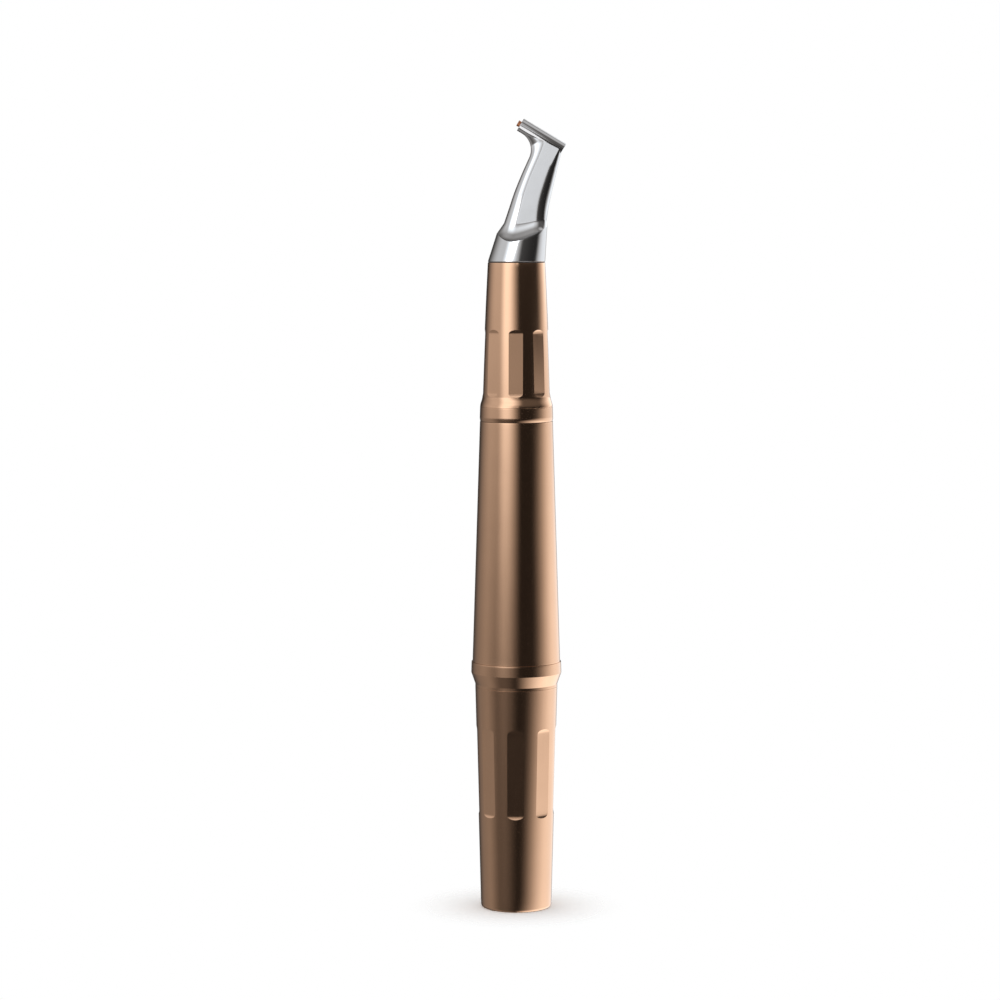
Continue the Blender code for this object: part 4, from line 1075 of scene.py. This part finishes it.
    def web_ring(self, share):
        """A section of the web on an arm from the fillet's centre, between neck and barrel."""
        head = self.head
        centre, from_neck, from_barrel = self.fillet
        arm = swung(from_neck, from_barrel, share)
        way, inward = arm.normalized(), from_neck.normalized()
        face = centre + arm
        front, _, _, front_round, back_round = self.values_at(self.neck_top)
        flat_start = front_round - front
        # Lengths along the arm: to the line where the flat begins, and to the barrel's axis
        flat_line = self.knee + self.neck_up * self.neck_top + self.neck_back * flat_start
        facing = way.dot(inward)
        to_flat = self.web_past
        if facing > self.least_facing:
            to_flat = (flat_line - face).dot(inward) / facing
        to_axis = (self.elbow - face).dot(self.barrel_up) / way.dot(self.barrel_up)
        # The web's back runs from the neck's back to the barrel's rear end, then inside the barrel
        neck_behind = self.neck_point(self.neck_end(0), 0)
        heel = self.end + self.jet_way * 2 * self.barrel_edge - neck_behind
        across = Vector((-way.z, 0, way.x))
        climb = (face - neck_behind).dot(across) / heel.dot(across)
        if 0 <= climb <= 1:
            depth = (neck_behind + heel * climb - face).dot(way)
            back_round = between(back_round, head.web_edge, climb)
        else:
            back_round = self.buried * head.barrel_radius
            depth = to_axis + back_round
        nose = min(to_flat, self.nose_share * to_axis)
        onset = swayed(0, 1, min(1.0, 2 * share))
        tip_reach = (self.tip - self.knee).dot(self.neck_back)
        ring = []
        for turn in self.turns:
            lengthwise, sideways = self.section(0, depth, 1, nose, back_round, turn)
            point = face + way * lengthwise
            half = self.values_at((point - self.knee).dot(self.neck_up))[2]
            aside = (point - self.knee).dot(self.neck_back)
            thinning = max(0.0, min(1.0, (aside - flat_start) / (tip_reach - flat_start)))
            half += (self.web_tip - half) * swayed(0, 1, thinning) * onset
            ring.append(point + SIDEWAYS * half * sideways)
        return ring

    def web_end(self):
        """The web's last section, sunk into the barrel."""
        sink = (self.barrel_up + self.jet_way) * self.buried * self.head.barrel_radius
        return [point + sink for point in self.web_ring(1.0)]

    def body(self):
        """The head without its barrel, with the scoop's edge a little rounded."""
        turns, top_radius = self.turns, self.casing.front_top_radius
        flat = [Vector((math.cos(turn), math.sin(turn), 0)) for turn in turns]
        spigot = top_radius - self.spigot_step
        foot = [(spigot, span("nozzle_head")[0]), (spigot, self.base)]
        foot += [(top_radius - self.lip, self.base)]
        rings = [[way * radius + Vector((0, 0, height)) for way in flat] for radius, height in foot]
        start = [self.cone_point(self.lip, turn) for turn in turns]
        edge = [self.scoop_edge(turn) for turn in turns]
        rings.append(start)
        for row in range(1, self.cone_rows):
            share = row / self.cone_rows
            rings.append([low.lerp(high, share) for low, high in zip(start, edge)])
        crease = len(rings)
        for row in range(self.scoop_rows + 1):
            rings.append([self.scoop_point(turn, row / self.scoop_rows) for turn in turns])
        ends = [(self.neck_foot(turn), self.neck_end(turn)) for turn in turns]
        for row in range(1, self.neck_rows + 1):
            heights = [between(low, high, row / self.neck_rows) for low, high in ends]
            rings.append([self.neck_point(height, turn) for height, turn in zip(heights, turns)])
        rings += [self.web_ring(row / self.web_rows) for row in range(1, self.web_rows + 1)]
        rings.append(self.web_end())
        bm, loops = lofted(rings)
        bmesh.ops.bevel(
            bm, geom=loop_edges(bm, loops[crease]), offset=self.scoop_round, offset_type="OFFSET",
            segments=6, profile=0.5, affect="EDGES", material=-1, clamp_overlap=True,
        )
        bmesh.ops.recalc_face_normals(bm, faces=bm.faces)
        return bm

    def along_barrel(self, profile):
        """A profile turned about the barrel's axis, with its foot at the barrel's rear end."""
        bm = spun(profile, SMALL_SEGMENTS)
        turn = Vector((0, 0, 1)).rotation_difference(self.jet_way).to_matrix().to_4x4()
        bmesh.ops.transform(bm, matrix=Matrix.Translation(self.end) @ turn, verts=bm.verts)
        return bm


class HANDPIECE_OT_head(bpy.types.Operator):
    """Build the chrome head and the plug at the rear of its barrel"""

    bl_idname = "handpiece.head"
    bl_label = "Chrome head"

    def execute(self, context):
        head = context.scene.head_sizes
        form = HeadForm(head, context.scene.casing_sizes)
        length, edge, hole = form.barrel_length, form.barrel_edge, head.passage_radius
        pocket, mouth, axis = 1.6 * MM, 1.7 * MM, 0.02 * MM
        profile = rear_lip(head.barrel_radius, 0, edge)
        profile += front_lip(head.barrel_radius, length, edge)
        profile += [(hole, length), (hole, length - mouth), (axis, length - mouth)]
        profile += [(axis, pocket), (hole, pocket), (hole, 0)]
        body = combined(form.body(), form.along_barrel(profile), "UNION")
        placed(
            "nozzle_head_fine", body, "nozzle", ["nozzle_head"], "chrome_head", sharp_degrees=14.0
        )

        gap, inset, chamfer = 0.06 * MM, 0.05 * MM, 0.1 * MM
        plug, top = hole - gap, pocket - CLEARANCE
        profile = [(axis, inset), (plug - chamfer, inset), (plug, inset + chamfer)]
        profile += [(plug, top), (axis, top)]
        disc = form.along_barrel(profile)
        placed(
            "barrel_plug_fine", disc, "nozzle", ["barrel_plug"], "chrome_head", sharp_degrees=28.0
        )
        return {"FINISHED"}


class HANDPIECE_OT_jet(bpy.types.Operator):
    """Build the copper jet tube in the barrel"""

    bl_idname = "handpiece.jet"
    bl_label = "Jet tube"

    def execute(self, context):
        head = context.scene.head_sizes
        form = HeadForm(head, context.scene.casing_sizes)
        tube_length, lip, steps = 2.2 * MM, 0.07 * MM, 5
        tip = form.barrel_length + head.jet_proud
        start = tip - tube_length
        profile = [(head.jet_bore, start), (head.jet_radius, start)]
        profile += front_lip(head.jet_radius, tip, lip, steps)
        profile += arc((head.jet_bore + lip, tip - lip), lip, 90, 180, steps)
        tube = form.along_barrel(profile)
        placed("jet_tube_fine", tube, "nozzle", ["jet_nozzle"], "copper_jet", sharp_degrees=28.0)
        return {"FINISHED"}


def area_lamp(scene, name, energy, width):
    """A soft lamp that the camera doesn't see."""
    lamp = bpy.data.lights.new(name, "AREA")
    lamp.energy = energy
    lamp.size = width
    obj = bpy.data.objects.new(name, lamp)
    obj.visible_camera = False
    scene.collection.objects.link(obj)
    return obj


class HANDPIECE_OT_stage(bpy.types.Operator):
    """Set the table, the light panels, the two lamps, the white surroundings and the camera"""

    bl_idname = "handpiece.stage"
    bl_label = "Stage"

    def execute(self, context):
        scene = context.scene
        scene.view_settings.view_transform = "Standard"
        world = bpy.data.worlds.new("white_surroundings")
        world.use_nodes = True
        world.node_tree.nodes["Background"].inputs["Color"].default_value = (1, 1, 1, 1)
        scene.world = world
        table = self.table(scene)
        panels = self.panels()
        self.soft_lamp(scene)
        self.head_card(scene)
        self.camera(scene)
        return {"FINISHED"}

    def table(self, scene):
        """A round table just under the coupling's rim."""
        radius, drop = 25 * MM, 0.02 * MM
        bm = bmesh.new()
        bmesh.ops.create_circle(bm, cap_ends=True, radius=radius, segments=96)
        bmesh.ops.translate(bm, verts=bm.verts, vec=(0, 0, -drop))
        table = plain_object("table", bm)
        table.data.materials.append(floor_finish(scene.finish_colours.floor))
        table.visible_glossy = False
        return table

    def panels(self):
        """A wide ball that carries the light panels."""
        radius = 2.5
        bm = bmesh.new()
        bmesh.ops.create_icosphere(bm, subdivisions=5, radius=radius)
        panels = plain_object("light_panels", bm)
        panels.data.materials.append(panel_finish())
        panels.data.shade_smooth()
        panels.visible_camera = False
        panels.visible_diffuse = False
        panels.visible_shadow = False
        return panels

    def soft_lamp(self, scene):
        """A large lamp up on the left, which lights the table and the dull pieces."""
        target = Vector((0, 0, 0.06))
        lamp = area_lamp(scene, "soft_lamp", energy=0.05, width=0.5)
        lamp.location = (-0.35, -0.35, 0.7)
        lamp.rotation_euler = (target - lamp.location).to_track_quat("-Z", "Y").to_euler()
        lamp.visible_glossy = False

    def head_card(self, scene):
        """A small lamp close to the head, which gives the barrel's lower side its light stripe."""
        barrel = Vector((-0.2, -1.4, 164.5)) * MM
        distance = 30 * MM
        away = Vector((-0.314, -0.79, -0.527)).normalized()
        tilt = scene.head_sizes.barrel_tilt
        upward = away.cross(Vector((math.cos(tilt), 0, -math.sin(tilt)))).normalized()
        card = area_lamp(scene, "head_card", energy=0.0011, width=14 * MM)
        card.data.shape = "ELLIPSE"
        card.data.size_y = 24 * MM
        card.location = barrel + away * distance
        turn = Matrix((upward.cross(away), upward, away)).transposed()
        card.rotation_euler = turn.to_euler()
        card.visible_diffuse = False

    def camera(self, scene):
        """A long lens a little above the middle of the handle, looking slightly down."""
        camera = bpy.data.cameras.new("photo_camera")
        camera.lens = 112.5
        camera.sensor_width = 36.0
        camera.clip_start = 0.01
        tilt = math.radians(4.8)
        distance = 656.25 * MM
        target = Vector((-3.44 * MM, 0, 86.4 * MM))
        camera_object = bpy.data.objects.new("photo_camera", camera)
        camera_object.location = target + Vector((0, -math.cos(tilt), math.sin(tilt))) * distance
        camera_object.rotation_euler = (math.pi / 2 - tilt, 0, 0)
        scene.collection.objects.link(camera_object)
        scene.camera = camera_object


OPERATORS = (
    HANDPIECE_OT_finishes,
    HANDPIECE_OT_inner_pieces,
    HANDPIECE_OT_coupling,
    HANDPIECE_OT_tail,
    HANDPIECE_OT_handle,
    HANDPIECE_OT_front,
    HANDPIECE_OT_head,
    HANDPIECE_OT_jet,
    HANDPIECE_OT_stage,
)


class HANDPIECE_PT_panel(bpy.types.Panel):
    """Lists the handpiece's operators and sizes"""

    bl_idname = "HANDPIECE_PT_panel"
    bl_label = "Handpiece"
    bl_space_type = "VIEW_3D"
    bl_region_type = "UI"
    bl_category = "Handpiece"

    def draw(self, context):
        layout = self.layout
        for operator in OPERATORS:
            layout.operator(operator.bl_idname)
        for group in GROUPS:
            box = layout.box()
            values = getattr(context.scene, group)
            for name in values.bl_rna.properties.keys():
                if name not in {"rna_type", "name"}:
                    box.prop(values, name)


GROUPS = {
    "casing_sizes": CasingSizes,
    "flute_sizes": FluteSizes,
    "head_sizes": HeadSizes,
    "finish_colours": FinishColours,
}
CLASSES = (*GROUPS.values(), *OPERATORS, HANDPIECE_PT_panel)


def register():
    for cls in CLASSES:
        bpy.utils.register_class(cls)
    for name, group in GROUPS.items():
        setattr(bpy.types.Scene, name, PointerProperty(type=group))


def unregister():
    for name in GROUPS:
        delattr(bpy.types.Scene, name)
    for cls in reversed(CLASSES):
        bpy.utils.unregister_class(cls)


def main():
    register()
    for operator in OPERATORS:
        group, name = operator.bl_idname.split(".")
        getattr(getattr(bpy.ops, group), name)()


if __name__ == "__main__":
    main()
